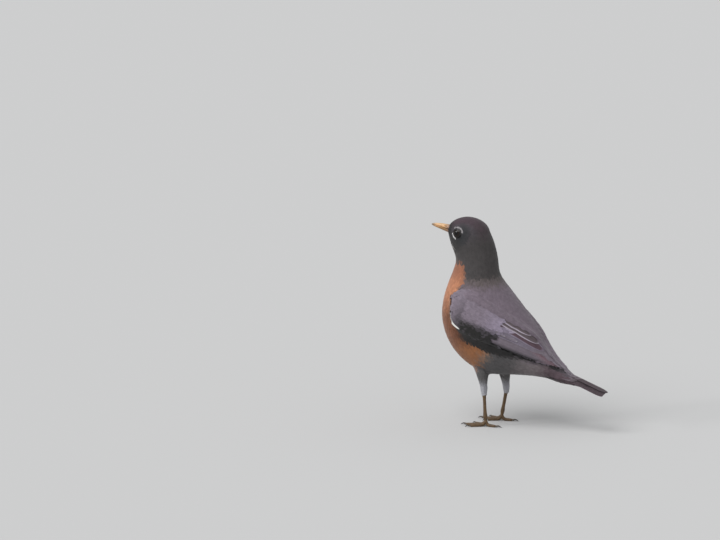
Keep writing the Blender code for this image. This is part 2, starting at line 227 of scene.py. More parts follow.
def linked(name, mesh):
    """A mesh as a new object in the scene."""
    obj = bpy.data.objects.new(name, mesh)
    bpy.context.scene.collection.objects.link(obj)
    return obj


def mesh_object(name, places, faces=()):
    """A new object from places in metres and lists of point numbers."""
    mesh = bpy.data.meshes.new(name)
    mesh.from_pydata([tuple(place) for place in places], [], [tuple(map(int, face)) for face in faces])
    mesh.update()
    return linked(name, mesh)


def grid_faces(rows, columns):
    """Four-sided faces between the points of a grid that is counted row by row."""
    return [(r * columns + c, r * columns + c + 1, (r + 1) * columns + c + 1, (r + 1) * columns + c)
            for r in range(rows - 1) for c in range(columns - 1)]


def spread(mesh, values, rounds):
    """Even out rows of values held at a mesh's points with their neighbours."""
    one, other = gather(mesh.edges, "vertices", 2, int).T
    values = np.asarray(values, float).reshape(len(mesh.vertices), -1)
    size = len(values)
    count = np.maximum(np.bincount(one, minlength=size) + np.bincount(other, minlength=size), 1)
    for _ in range(rounds):
        total = np.stack([np.bincount(one, column[other], size) + np.bincount(other, column[one], size)
                          for column in values.T])
        values = 0.5 * values + 0.5 * (total / count).T
    return values


def curve_through(stops, steps):
    """Points along a smooth curve through stops, evenly spaced."""
    stops = np.asarray(stops, float)
    padded = np.vstack([2 * stops[0] - stops[1], stops, 2 * stops[-1] - stops[-2]])
    part = np.linspace(0, 1, 60, endpoint=False)[:, None]
    lengths = []
    for k in range(len(stops) - 1):
        a, b, c, d = padded[k:k + 4]
        lengths.append(0.5 * (2 * b + part * (c - a) + part ** 2 * (2 * a - 5 * b + 4 * c - d)
                              + part ** 3 * (3 * b - a - 3 * c + d)))
    dense = np.vstack(lengths + [stops[-1:]])
    run = np.concatenate([[0], np.cumsum(np.linalg.norm(np.diff(dense, axis=0), axis=1))])
    wanted = np.linspace(0, run[-1], steps)
    return np.stack([np.interp(wanted, run, dense[:, k]) for k in range(dense.shape[1])], axis=1)


def box_spot(node, across, along, up):
    """A place at shares of a node's box: across x, along y and up z."""
    low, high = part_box(node)
    return np.array([low[k] + (high[k] - low[k]) * share for k, share in enumerate((across, along, up))])


def wing_spot(side, across, along, up):
    """A place at shares of a wing's box, with across counted outwards."""
    return box_spot(f"wing_{side}", across if side == "left" else 1 - across, along, up)


BILL_ROOT = box_spot("bill_upper", 0.5, 1.0, 0.0)
EYE_CENTRES = {side: box_spot(f"eye_{side}", 0.5, 0.5, 0.5) for side in SIDES}


class Spine:
    """The line that the body is built round, with its own directions at each step."""

    def __init__(self):
        self.points = curve_through([box_spot(node, 0.5, along, up) for node, along, up in SPINE_STOPS],
                                    SPINE_STEPS)
        self.length = np.linalg.norm(np.diff(self.points, axis=0), axis=1).sum()
        self.tangents = unit(np.gradient(self.points, axis=0))
        left = np.array([1.0, 0.0, 0.0])
        self.left = unit(left - self.tangents * (self.tangents @ left)[:, None])
        self.front = unit(np.cross(self.tangents, self.left))

    def nearest(self, places):
        """For each place: its share of the line, its turn from the breast, and the line's step there."""
        places = np.asarray(places, float)
        steps = np.empty(len(places), int)
        for start in range(0, len(places), BATCH):
            gaps = ((places[start:start + BATCH, None, :] - self.points[None, :, :]) ** 2).sum(2)
            steps[start:start + BATCH] = gaps.argmin(1)
        away = places - self.points[steps]
        turn = np.degrees(np.arctan2((away * self.left[steps]).sum(1), (away * self.front[steps]).sum(1)))
        return steps / (SPINE_STEPS - 1), turn, steps


SPINE = Spine()


def welded(node, growth=0.0):
    """A merged copy of a CAD node's mesh as a bmesh, thicker by growth all round."""
    bm = bmesh.new()
    bm.from_mesh(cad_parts[node].data)
    bmesh.ops.remove_doubles(bm, verts=bm.verts, dist=1e-6)
    bm.normal_update()
    for vert in bm.verts:
        vert.co += vert.normal * growth
    return bm


def node_tree(node):
    """A search tree over a CAD node's surface."""
    bm = welded(node)
    tree = BVHTree.FromBMesh(bm)
    bm.free()
    return tree


def ball(centre, radius):
    """A round filler as a bmesh."""
    bm = bmesh.new()
    bmesh.ops.create_uvsphere(bm, u_segments=24, v_segments=16, radius=radius)
    bmesh.ops.translate(bm, vec=Vector(centre), verts=bm.verts)
    return bm


def joined(name, parts):
    """One object from several bmeshes, which are used up."""
    whole = bmesh.new()
    for bm in parts:
        mesh = bpy.data.meshes.new("part")
        bm.to_mesh(mesh)
        bm.free()
        whole.from_mesh(mesh)
        bpy.data.meshes.remove(mesh)
    mesh = bpy.data.meshes.new(name)
    whole.to_mesh(mesh)
    whole.free()
    return linked(name, mesh)


def applied(obj):
    """The object with its modifiers made part of its mesh."""
    graph = bpy.context.evaluated_depsgraph_get()
    mesh = bpy.data.meshes.new_from_object(obj.evaluated_get(graph))
    obj.modifiers.clear()
    obj.data = mesh
    return obj


def remeshed(obj, voxel):
    """The object's mesh rebuilt as one closed surface of even faces."""
    modifier = obj.modifiers.new("even", "REMESH")
    modifier.mode = "VOXEL"
    modifier.voxel_size = voxel
    return applied(obj)


def rounded(obj):
    """The object's mesh with its faces cut finer twice and rounded."""
    modifier = obj.modifiers.new("round", "SUBSURF")
    modifier.levels = 2
    return applied(obj)


def tail_root():
    """The front part of the tail, closed where it is cut, and narrowed so that the quills hide its end."""
    bm = welded("tail", SEAM_GROWTH)
    middle = Vector(box_spot("tail", 0.5, TAIL_ROOT_SHARE, 0.5))
    cut = bmesh.ops.bisect_plane(bm, geom=bm.verts[:] + bm.edges[:] + bm.faces[:], plane_co=middle,
                                 plane_no=(0, 1, 0), clear_outer=True)["geom_cut"]
    bmesh.ops.contextual_create(bm, geom=[item for item in cut if isinstance(item, bmesh.types.BMEdge)])
    places = np.array([vert.co for vert in bm.verts])
    start, end = places[:, 1].min(), places[:, 1].max()
    narrow = 1 - 0.3 * ramp(0.3, 1.0, (places[:, 1] - start) / (end - start))
    middles = SPINE.points[SPINE.nearest(places)[2]]
    for vert, middle, place, share in zip(bm.verts, middles, places, narrow):
        vert.co = middle + (place - middle) * share
    return bm


# Each wing's lower and upper edge as a smooth curve from the bend to the tip
EDGE_STEPS = 41
WING_EDGES = {side: [curve_through([wing_spot(side, *stop) for stop in stops], EDGE_STEPS)
                     for stops in (WING_LOW_STOPS, WING_HIGH_STOPS)] for side in SIDES}


def line_gap(places, line):
    """How far each place is from the nearest point of a line, and that point's share of the line."""
    gaps = np.linalg.norm(places[:, None, :] - line[None, :, :], axis=2)
    return gaps.min(1), gaps.argmin(1) / (len(line) - 1)


def wing_share(places, side):
    """How far along a wing each place is, from 0 at its bend to 1 at its tip."""
    low = WING_EDGES[side][0]
    reach = low[-1] - low[0]
    return (places - low[0]) @ reach / (reach @ reach)


def eye_gap(places):
    """How far each place is from the nearer eye's middle."""
    return np.min([np.linalg.norm(places - centre, axis=1) for centre in EYE_CENTRES.values()], axis=0)


def bill_gap(places):
    """How far each place is from the bill's root."""
    return np.linalg.norm(places - BILL_ROOT, axis=1)


def fill_grooves(mesh):
    """Raise the grooves where nodes meet on the trunk, but not those at the eyes, bill and wing edges."""
    places = points_of(mesh)
    normals = unit(spread(mesh, normals_of(mesh), 4))
    rise = ((spread(mesh, places, 45) - places) * normals).sum(1)
    keep_open = np.maximum(fade(8 * MM, 12 * MM, eye_gap(places)), fade(8 * MM, 12 * MM, bill_gap(places)))
    for edges in WING_EDGES.values():
        for edge in edges:
            gap, along = line_gap(places, edge)
            keep_open = np.maximum(keep_open, fade(6 * MM, 10 * MM, gap) * ramp(0.30, 0.42, along))
    rise = np.clip(rise, 0, 2.5 * MM) * (1 - keep_open)
    set_points(mesh, spread(mesh, places + normals * rise[:, None], 3))


def make_outer_form():
    """The nodes of flesh grown together into one closed form, which the feather tips reach."""
    parts = [welded(node, SEAM_GROWTH) for node in FLESH if node != "tail"]
    parts.append(tail_root())
    parts += [ball(centre, EYE_FILLER) for centre in EYE_CENTRES.values()]
    parts.append(ball(BILL_ROOT, BILL_FILLER))
    form = remeshed(joined("skin", parts), SKIN_VOXEL)
    set_points(form.data, spread(form.data, points_of(form.data), 5))
    fill_grooves(form.data)
    return form


def owners_of(places):
    """For each place: the number in FLESH of the CAD node that it lies nearest to."""
    gaps = []
    for node in FLESH:
        tree = node_tree(node)
        gaps.append([tree.find_nearest(place)[3] for place in map(Vector, places)])
    return np.array(gaps).argmin(0)


def owned(owners, *starts):
    """True where the owning node's name starts with one of the given words."""
    names = np.array(FLESH)[owners]
    return np.any([np.char.startswith(names, start) for start in starts], axis=0)


def coat_depth(places, owners):
    """How deep the coat is at each place of the outer form."""
    depth = np.array(list(COAT_DEPTH.values()))[owners] * MM
    face = fade(8 * MM, 18 * MM, bill_gap(places))
    depth = depth * (1 - face) + FACE_DEPTH * face
    lids = fade(6.2 * MM, 7.5 * MM, eye_gap(places))
    return depth * (1 - lids) + EYE_DEPTH * lids


def turn_of(swing):
    """Turns round the spine line, in degrees, from rows of their cosine and sine."""
    return np.degrees(np.arctan2(swing[:, 1], swing[:, 0]))


class Skin:
    """The one skin under the coat, with the facts that the feathers take from it."""

    def __init__(self):
        self.obj = make_outer_form()
        mesh = self.obj.data
        outer = points_of(mesh)
        self.owners = owners_of(outer)
        self.depth = spread(mesh, coat_depth(outer, self.owners), 24)[:, 0]
        normals = unit(spread(mesh, normals_of(mesh), 4))
        set_points(mesh, outer - normals * self.depth[:, None])
        self.places = points_of(mesh)
        self.normals = unit(spread(mesh, normals_of(mesh), 6))
        share, turn, step = SPINE.nearest(self.places)
        turn = np.radians(turn)
        facts = np.column_stack([share, np.cos(turn), np.sin(turn), SPINE.tangents[step]])
        bent = fade(0.19, 0.26, share)[:, None]
        facts = facts * (1 - bent) + spread(mesh, facts, 60) * bent
        self.share, self.swing, self.flow = facts[:, 0], facts[:, 1:3], unit(facts[:, 3:])
        self.turn = turn_of(self.swing)
        mesh.calc_loop_triangles()
        self.triangles = gather(mesh.loop_triangles, "vertices", 3, int)


SKIN = Skin()


class Socket:
    """Which way an eye faces, for its ball, its lids and the feathers round it."""

    def __init__(self, side):
        self.centre = EYE_CENTRES[side]
        gaps = np.linalg.norm(SKIN.places - self.centre, axis=1)
        self.axis = unit(SKIN.normals[(gaps > 5.8 * MM) & (gaps < 9 * MM)].mean(0))
        ahead = BILL_ROOT - self.centre
        self.ahead = unit(ahead - self.axis * (ahead @ self.axis))
        self.up = np.cross(self.axis, self.ahead)
        self.up *= np.sign(self.up[2])

    def polar(self, places):
        """Each place's gap from the eye's axis, its turn from the bill over the crown, and its height."""
        away = places - self.centre
        x, y = away @ self.ahead, away @ self.up
        return np.hypot(x, y), np.degrees(np.arctan2(y, x)), away @ self.axis

    def spot(self, reach, turn, height):
        """The place at a reach from the axis, a turn in degrees and a height."""
        turn = math.radians(turn)
        return (self.centre + self.ahead * reach * math.cos(turn) + self.up * reach * math.sin(turn)
                + self.axis * height)


SOCKETS = {side: Socket(side) for side in SIDES}


def orange_mask(share, around):
    """Where the breast is orange."""
    edge = np.interp(share, (0.199, 0.213, 0.232, 0.256, 0.270, 0.292, 0.33, 0.52, 0.545, 0.565),
                     (54, 67, 76, 82, 80, 70, 104, 104, 92, 76))
    return ramp(0.187, 0.207, share) * fade(-6, 6, around - edge) * fade(0.528, 0.566, share)


def ringed(colour, places):
    """The colours with the broken pale ring round each eye: greyer over it, white under its front."""
    for socket in SOCKETS.values():
        reach, turn, height = socket.polar(places)
        near = fade(6 * MM, 16 * MM, reach) * (height > 0) * ramp(50, 140, np.abs(turn))
        colour = mixed(colour, "temple", near * 0.9)
        band = (reach > PALE_RING[0]) & (reach < PALE_RING[1]) & (height > 0)
        colour = mixed(colour, "ring_over", band & (turn > 34) & (turn < 162))
        colour = mixed(colour, "ring_under", band & (turn > -86) & (turn < -14))
    return colour


def under_shoulder(places):
    """How much each place belongs to the long shoulder feathers along the wings' upper edges."""
    part = 0
    for side in SIDES:
        gap, along = line_gap(places, WING_EDGES[side][1])
        lane = fade(3 * MM, 5.5 * MM, gap) * ramp(0.04, 0.15, along)
        part = np.maximum(part, lane * fade(0.60, 0.75, along))
    return part


def wing_tone(places, side, jitter):
    """The colour of a wing's small coverts: pale lilac grey, and near black along the lower front."""
    along = wing_share(places, side)
    gap, _ = line_gap(places, WING_EDGES[side][0])
    colour = mixed("lesser", "greater", ramp(0.18, 0.45, along))
    front = fade(7.5 * MM, 15.5 * MM, gap - 2 * MM * ramp(0.1, 0.3, along))
    front = front * ramp(0.0, 0.14, along) * (0.97 - 0.14 * ramp(0.7, 1.3, jitter))
    colour = mixed(colour, "wing_front", front)
    return mixed(colour, "rump", ramp(0.6, 0.7, along))


def markings(places, owners, share, turn, jitter):
    """The plumage colour at each place, with painted shade on the lower breast, a painted shadow below each
    wing, and jitter softening the borders between colours.
    """
    share = share + jitter * 0.006
    around = np.abs(turn) + jitter * 2.5
    colour = mixed("chin_side", "cheek", ramp(45, 85, around))
    colour = mixed(colour, "crown", ramp(105, 140, around))
    colour = mixed(colour, "nape", ramp(0.065, 0.135, share))
    mantle = mixed("mantle_front", "mantle", ramp(0.25, 0.31, share))
    colour = mixed(colour, mantle, ramp(0.240, 0.262, share) * ramp(70, 85, around))
    colour = mixed(colour, "rump", ramp(0.66, 0.74, share) * ramp(110, 130, around))
    breast = mixed("upper_breast", "breast", ramp(0.22, 0.30, share))
    # painted shade: the lower breast is painted a darker brown, more so on its sides, as the shade under the
    # breast's curve
    breast = mixed(breast, "breast_shade", ramp(0.290, 0.385, share) * (0.5 + 0.5 * ramp(5, 60, around)))
    breast = mixed(breast, "belly", ramp(0.43, 0.50, share))
    breast = mixed(breast, "belly_grey", ramp(0.505, 0.55, share) * ramp(40, 75, around))
    below = mixed("vent", "flank", ramp(20, 42, around))
    below = mixed(below, "flank_back", ramp(0.60, 0.70, share) * ramp(25, 50, around))
    below = mixed(below, "under_tail", ramp(0.70, 0.77, share) * ramp(25, 50, around))
    colour = mixed(colour, below, ramp(0.50, 0.53, share) * fade(105, 120, around))
    colour = mixed(colour, breast, orange_mask(share, around))
    streaks = ramp(-0.2, 0.3, np.sin(turn * 0.5 + 1.2 * np.sin(share * 60)))
    throat = mixed("throat_white", "throat_dark", streaks)
    colour = mixed(colour, throat, fade(0.165, 0.190, share) * fade(12, 22, around))
    near_bill = fade(4 * MM, 11 * MM, bill_gap(places) + jitter * 0.4 * MM) * ramp(35, 60, around)
    colour = ringed(mixed(colour, "lores", near_bill), places)
    for side in SIDES:
        wing = owned(owners, f"wing_{side}")
        gap, along = line_gap(places, WING_EDGES[side][0])
        # painted shadow: coat below each wing's lower edge, off the wing, is painted near black, widest
        # towards the front
        reach = 8.0 * MM - 3.5 * MM * ramp(0.35, 0.75, along)
        shade = fade(-3 * MM, 0, gap - reach) * ramp(0.15, 0.26, along)
        colour = mixed(colour, "under_wing_shadow", shade * ~wing)
        leg = places[:, 2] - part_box(f"thigh_{side}")[0].z
        thigh = mixed("thigh_low", "thigh", ramp(6 * MM, 19 * MM, leg))
        colour = np.where(owned(owners, f"thigh_{side}")[:, None], thigh, colour)
        colour = np.where(wing[:, None], wing_tone(places, side, jitter), colour)
    return mixed(colour, "mantle", ramp(0.05, 0.4, under_shoulder(places)))


class Wire:
    """A node's output, which can be reckoned with like a number."""

    def __init__(self, kit, socket):
        self.kit = kit
        self.socket = socket

    def __add__(self, other):
        return self.kit.maths("ADD", self, other)

    def __sub__(self, other):
        return self.kit.maths("SUBTRACT", self, other)

    def __rsub__(self, other):
        return self.kit.maths("SUBTRACT", other, self)

    def __mul__(self, other):
        return self.kit.maths("MULTIPLY", self, other)

    def __truediv__(self, other):
        return self.kit.maths("DIVIDE", self, other)

    def __pow__(self, other):
        return self.kit.maths("POWER", self, other)

    def __abs__(self):
        return self.kit.maths("ABSOLUTE", self)


class NodeKit:
    """Short ways to add nodes to a tree and join them."""

    def __init__(self, tree):
        self.tree = tree

    def fill(self, node, inputs):
        """Link wires to a node's inputs, by number or name, or set the inputs' own values."""
        for label, value in inputs.items():
            socket = node.inputs[label.replace("_", " ") if isinstance(label, str) else label]
            if isinstance(value, Wire):
                self.tree.links.new(value.socket, socket)
            else:
                socket.default_value = value

    def node(self, kind, settings=None, inputs=None, **given):
        """A new node with settings of its own and values or wires on its inputs."""
        node = self.tree.nodes.new(kind)
        for name, value in (settings or {}).items():
            setattr(node, name, value)
        self.fill(node, {**(inputs or {}), **given})
        return node

    def made(self, kind, settings=None, inputs=None, out=0, **given):
        """A new node's output."""
        return Wire(self, self.node(kind, settings, inputs, **given).outputs[out])

    def maths(self, operation, *values):
        """A number worked out from others."""
        return self.made("ShaderNodeMath", {"operation": operation}, dict(enumerate(values)))

    def vectors(self, operation, *values):
        """A vector worked out from others."""
        return self.made("ShaderNodeVectorMath", {"operation": operation}, dict(enumerate(values)))

    def scaled(self, vector, number):
        """A vector times a number."""
        return self.made("ShaderNodeVectorMath", {"operation": "SCALE"}, {0: vector, "Scale": number})

    def ramp(self, value, low, high, start=0.0, end=1.0):
        """A soft ramp from start to end while value goes from low to high."""
        return self.made("ShaderNodeMapRange", {"interpolation_type": "SMOOTHSTEP"}, Value=value,
                         From_Min=low, From_Max=high, To_Min=start, To_Max=end)

    def mix(self, kind, first, second, share, blend="MIX"):
        """A number, vector or colour between two others."""
        at = ("FLOAT", "VECTOR", "RGBA").index(kind)
        return self.made("ShaderNodeMix", {"data_type": kind, "blend_type": blend},
                         {0: share, 2 + 2 * at: first, 3 + 2 * at: second}, at)

    def colours(self, first, second, share):
        """A colour between two others."""
        return self.mix("RGBA", first, second, share)

    def lit(self, colour, light):
        """A colour made lighter or darker."""
        return self.mix("RGBA", colour, self.together(light, light, light), 1.0, "MULTIPLY")

    def named(self, name, kind="FLOAT"):
        """A geometry tree's named attribute."""
        return self.made("GeometryNodeInputNamedAttribute", {"data_type": kind}, Name=name, out="Attribute")

    def vector(self, name):
        """A geometry tree's named vector."""
        return self.named(name, "FLOAT_VECTOR")

    def attribute(self, name, out="Fac"):
        """A shader's named attribute."""
        return self.made("ShaderNodeAttribute", {"attribute_name": name}, out=out)

    def apart(self, vector):
        """A vector's x, y and z."""
        return [Wire(self, axis) for axis in self.node("ShaderNodeSeparateXYZ", None, {0: vector}).outputs]

    def together(self, *values):
        """A vector from x, y and z."""
        return self.made("ShaderNodeCombineXYZ", None, dict(enumerate(values)))

    def texture(self, kind, settings=None, **given):
        """A texture, laid through the object's own space unless a vector is given."""
        if "Vector" not in given:
            given["Vector"] = self.made("ShaderNodeTexCoord", out="Object")
        return self.made(f"ShaderNodeTex{kind}", settings, **given)

    def bump(self, strength, distance, height, invert=False):
        """A normal that follows a height."""
        return self.made("ShaderNodeBump", {"invert": invert}, Strength=strength, Distance=distance,
                         Height=height)

    def given(self, name):
        """One of a geometry tree's own inputs."""
        return self.made("NodeGroupInput", out=name)

    def shape(self, name):
        """The mesh of an object that is one of the tree's inputs."""
        return self.made("GeometryNodeObjectInfo", {"transform_space": "ORIGINAL"}, Object=self.given(name),
                         out="Geometry")

    def eased(self, share):
        """A rise from 0 to 1 that is quick at first and level at its end."""
        return 1.0 - (1.0 - self.maths("MINIMUM", share, 1.0)) ** 2.0


def new_material(name, roughness, **sockets):
    """A Principled material with plain values on its sockets, a kit to add nodes with, and its shader."""
    material = bpy.data.materials.new(name)
    material.use_nodes = True
    kit = NodeKit(material.node_tree)
    shader = material.node_tree.nodes["Principled BSDF"]
    kit.fill(shader, {"Roughness": roughness, **sockets})
    return material, kit, shader


def ink(name, strength=1.0):
    """A tone as a material's colour, lighter or darker by its strength."""
    return (*tone(name) * strength, 1)


def plumage_material(name, roughness, sheen, barb_gap):
    """Feather finish: each feather's own colour, with barbs, a shaft, a pale edge and a dark inner web."""
    material, kit, shader = new_material(name, roughness, Sheen_Weight=sheen, Sheen_Roughness=0.5,
                                         Specular_IOR_Level=0.25)
    along, across, chance = kit.apart(kit.attribute("vane", "Vector"))
    far, wide, web = kit.apart(kit.attribute("barb", "Vector"))
    barbs = kit.maths("PINGPONG", (far - abs(wide) * 0.8) / barb_gap, 1.0)
    grain = kit.texture("Noise", Scale=260.0, Detail=3.0)
    light = (barbs * 0.10 + kit.ramp(grain, 0.3, 0.7, 0.86, 1.0)) * (chance * 0.16 + 0.92)
    outer = abs(across)
    bare = kit.ramp(across, -0.1, 0.15) * web
    rim = kit.maths("MAXIMUM", kit.ramp(outer, 0.66, 0.92), kit.ramp(along, 0.93, 0.99, 0.0, 0.6))
    shaft = kit.ramp(outer, 0.04, 0.14, 1.0, 0.0) * kit.attribute("shaft")
    colour = kit.colours(kit.attribute("plume", "Color"), kit.attribute("tip", "Color"),
                         kit.ramp(along, 0.74, 0.98))
    colour = kit.colours(colour, kit.attribute("edge", "Color"), rim * (1.0 - bare) * kit.attribute("rim"))
    light = light * ((1.0 - bare * 0.5) * (1.0 - shaft * 0.45))
    kit.fill(shader, {"Base Color": kit.lit(colour, light), "Normal": kit.bump(0.2, 0.0001, barbs + grain)})
    return material


BAKE_PATCH = 0.003
SOFT = plumage_material("soft_feathers", 0.85, 0.15, 0.20)
FIRM = plumage_material("firm_feathers", 0.62, 0.05, 0.28)


def keep(piece, finish, slot, *nodes):
    """A finished piece gets its one finish if one is given, rides on the bird, and stands for CAD nodes,
    which are hidden; slot is not used.
    """
    if finish:
        piece.data.materials.clear()
        piece.data.materials.append(finish)
        piece.data.shade_smooth()
    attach(piece, "root")
    if nodes:
        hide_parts(*nodes)


def dress_skin():
    """Finish the skin in the same markings as the coat, painted a tenth darker as shade in the gaps under
    the feathers.
    """
    mesh = SKIN.obj.data
    colour = markings(SKIN.places, SKIN.owners, SKIN.share, SKIN.turn, np.zeros(len(SKIN.places)))
    # painted shade: the skin under the coat is a tenth darker than the markings
    hold(mesh, "plume", spread(mesh, colour, 2) * 0.9)
    hold(mesh, "out", SKIN.normals * SKIN.depth[:, None])
    keep(SKIN.obj, SOFT, "dark_feathers", *FLESH)


dress_skin()


def flat_sheet(name, grid, faces):
    """A feather's flat pattern from rows of x, y and side, which its vane keeps as along, across, side."""
    grid = np.array(grid)
    obj = mesh_object(name, np.column_stack([grid[:, :2], np.zeros(len(grid))]), faces)
    hold(obj.data, "vane", grid[:, (1, 0, 2)])
    return obj


def vane_sheet(name, rows, half_width, comb):
    """A feather's flat pattern, x across and y along in shares of its size, with a comb of barb tips.

    half_width gives the vane's half width at a share of its length, and comb how far the barb tips differ.
    """
    across = np.linspace(-1, 1, 9)
    columns = len(across)

    def reach(along, side):
        return along - (0.08 * along + 0.20 * along ** 4) * side ** 2

    grid = [(side * half_width(along), reach(along, side), side) for along in rows for side in across]
    faces = grid_faces(len(rows), columns)
    last = (len(rows) - 1) * columns
    for c in range(columns - 1):
        side = (across[c] + across[c + 1]) / 2
        barb = (1 - rows[-1]) * (1 + comb * RANDOM.uniform(-1, 1))
        grid.append((side * half_width(rows[-1]) * 0.94, reach(rows[-1], side) + barb, side))
        faces.append((last + c, last + c + 1, len(grid) - 1))
    return flat_sheet(name, grid, faces)


def quill_sheet(name, start, power):
    """A quill's flat pattern: an upper and a lower face that meet at the edges and the tip.

    It narrows from the share of its length where it starts to its tip, with a power for how blunt it is.
    """
    rows = (0.0, 0.12, 0.25, 0.40, 0.55, 0.66, 0.75, 0.83, 0.89, 0.94, 0.97, 0.99)
    across = np.array([-1.0, -0.6, -0.14, 0.0, 0.14, 0.6, 1.0])
    columns = len(across)
    grid = []
    for along in rows:
        end = max(0.0, (along - start) / (1 - start))
        half = (0.55 + 0.45 * min(1.0, along / 0.25)) * (1 - end ** 2) ** power
        grid += [(side * half, along, side) for side in across]
    tip = len(grid)
    grid.append((0.0, 1.0, 0.0))
    last = tip - columns
    faces = grid_faces(len(rows), columns) + [(last + c, last + c + 1, tip) for c in range(columns - 1)]
    count = len(grid)
    rim = {r * columns + c for r in range(len(rows)) for c in (0, columns - 1)} | {tip}
    faces += [tuple(k if k in rim else count + k for k in reversed(face)) for face in faces]
    obj = flat_sheet(name, grid + grid, faces)
    hold(obj.data, "layer", np.repeat([0.0, 1.0], count))
    return obj


def vane_set(name, sheets):
    """A hidden collection of feather patterns, taken out of the scene's own list."""
    group = bpy.data.collections.new(name)
    for sheet in sheets:
        bpy.context.scene.collection.objects.unlink(sheet)
        group.objects.link(sheet)
    return group


def soft_outline(along):
    """A contour feather's half width along its length."""
    return 0.34 + 0.66 * math.sin(math.pi * min(1.0, along * 0.86) ** 0.9)


def covert_outline(along):
    """A wing covert's half width along its length."""
    return 0.45 + 0.55 * math.sin(math.pi * min(1.0, along * 0.82) ** 0.8)


SOFT_VANES = vane_set("soft_vanes", [
    vane_sheet(f"soft_vane_{k}", (0.0, 0.30, 0.62, 0.91), soft_outline, 0.35) for k in range(5)])
COVERT_VANES = vane_set("covert_vanes", [
    vane_sheet(f"covert_vane_{k}", (0.0, 0.30, 0.60, 0.82, 0.95), covert_outline, 0.25) for k in range(5)])
QUILL_VANES = vane_set("quill_vanes", [
    quill_sheet("quill_vane_0_pointed", 0.62, 0.75), quill_sheet("quill_vane_1_blunt", 0.86, 0.50),
    quill_sheet("quill_vane_2_round", 0.68, 0.55), quill_sheet("quill_vane_3_tail", 0.88, 0.55)])


def any_vane():
    """One of the five patterns of a set, at random."""
    return int(RANDOM.integers(0, 5))


def new_tree(name, shape, *numbers):
    """A kit for an empty geometry tree with the given inputs: an object and numbers."""
    tree = bpy.data.node_groups.new(name, "GeometryNodeTree")
    tree.interface.new_socket("Coat", in_out="OUTPUT", socket_type="NodeSocketGeometry")
    inputs = {"Roots": "Geometry", "Vanes": "Collection", "Finish": "Material", shape: "Object",
              **{label: "Float" for label in numbers}}
    for label, kind in inputs.items():
        tree.interface.new_socket(label, in_out="INPUT", socket_type=f"NodeSocket{kind}")
    return NodeKit(tree)


def grown(obj, tree, given):
    """The object's mesh put through a geometry tree, with the tree's inputs given by name."""
    modifier = obj.modifiers.new(tree.name, "NODES")
    modifier.node_group = tree
    for item in tree.interface.items_tree:
        if item.name in given:
            modifier[item.identifier] = given[item.name]
    return applied(obj)


def finish_tree(kit, place, far, wide, web, under):
    """End a tree: patterns are set at the roots and made real, and their points are moved to their places.

    Each point keeps how far along and across its feather it lies, and which way the skin under it faces.
    """
    vanes = kit.made("GeometryNodeCollectionInfo", {"transform_space": "ORIGINAL"},
                     Collection=kit.given("Vanes"), Separate_Children=True, Reset_Children=True)
    placed = kit.made("GeometryNodeInstanceOnPoints", Points=kit.given("Roots"), Instance=vanes,
                      Pick_Instance=True, Instance_Index=kit.named("kind", "INT"))
    coat = kit.made("GeometryNodeRealizeInstances", Geometry=placed)
    for name, value in (("barb", kit.together(far * (1 / MM), wide * (1 / MM), web)), ("under", under)):
        coat = kit.made("GeometryNodeStoreNamedAttribute", {"data_type": "FLOAT_VECTOR", "domain": "POINT"},
                        Geometry=coat, Name=name, Value=value)
    coat = kit.made("GeometryNodeSetPosition", Geometry=coat, Position=place)
    coat = kit.made("GeometryNodeSetShadeSmooth", Geometry=coat)
    coat = kit.made("GeometryNodeSetMaterial", Geometry=coat, Material=kit.given("Finish"))
    kit.node("NodeGroupOutput", Coat=coat)
    return kit.tree


def coat_tree():
    """Small feathers over the skin: each follows the skin along its lie and lifts off it towards its tip.

    The skin's out vectors are as long as the coat is deep, and heights are shares of that.
    """
    kit = new_tree("coat_over_skin", "Skin", "Root height", "Cup")
    along, across, _ = kit.apart(kit.vector("vane"))
    far = along * kit.named("length")
    wide = across * (kit.named("width") * 0.5)
    lie = kit.vector("lie")
    sideways = kit.scaled(kit.vectors("CROSS_PRODUCT", lie, kit.vector("face")), wide)
    flat = kit.vectors("ADD", kit.vector("root"), kit.vectors("ADD", kit.scaled(lie, far), sideways))
    skin = kit.shape("Skin")
    touch = kit.made("GeometryNodeProximity", {"target_element": "FACES"}, {0: skin}, "Position",
                     Source_Position=flat)
    out = kit.made("GeometryNodeSampleNearestSurface", {"data_type": "FLOAT_VECTOR"}, Mesh=skin,
                   Value=kit.vector("out"), Sample_Position=flat)
    rise = kit.eased(along / 0.3) * 0.82 + along * 0.18
    low, tip = kit.given("Root height"), kit.named("lift")
    cup = tip * kit.given("Cup") * (across * across * along)
    place = kit.vectors("ADD", touch, kit.scaled(out, low + rise * (tip - low) - cup))
    return finish_tree(kit, place, far, wide, 0.0, out)


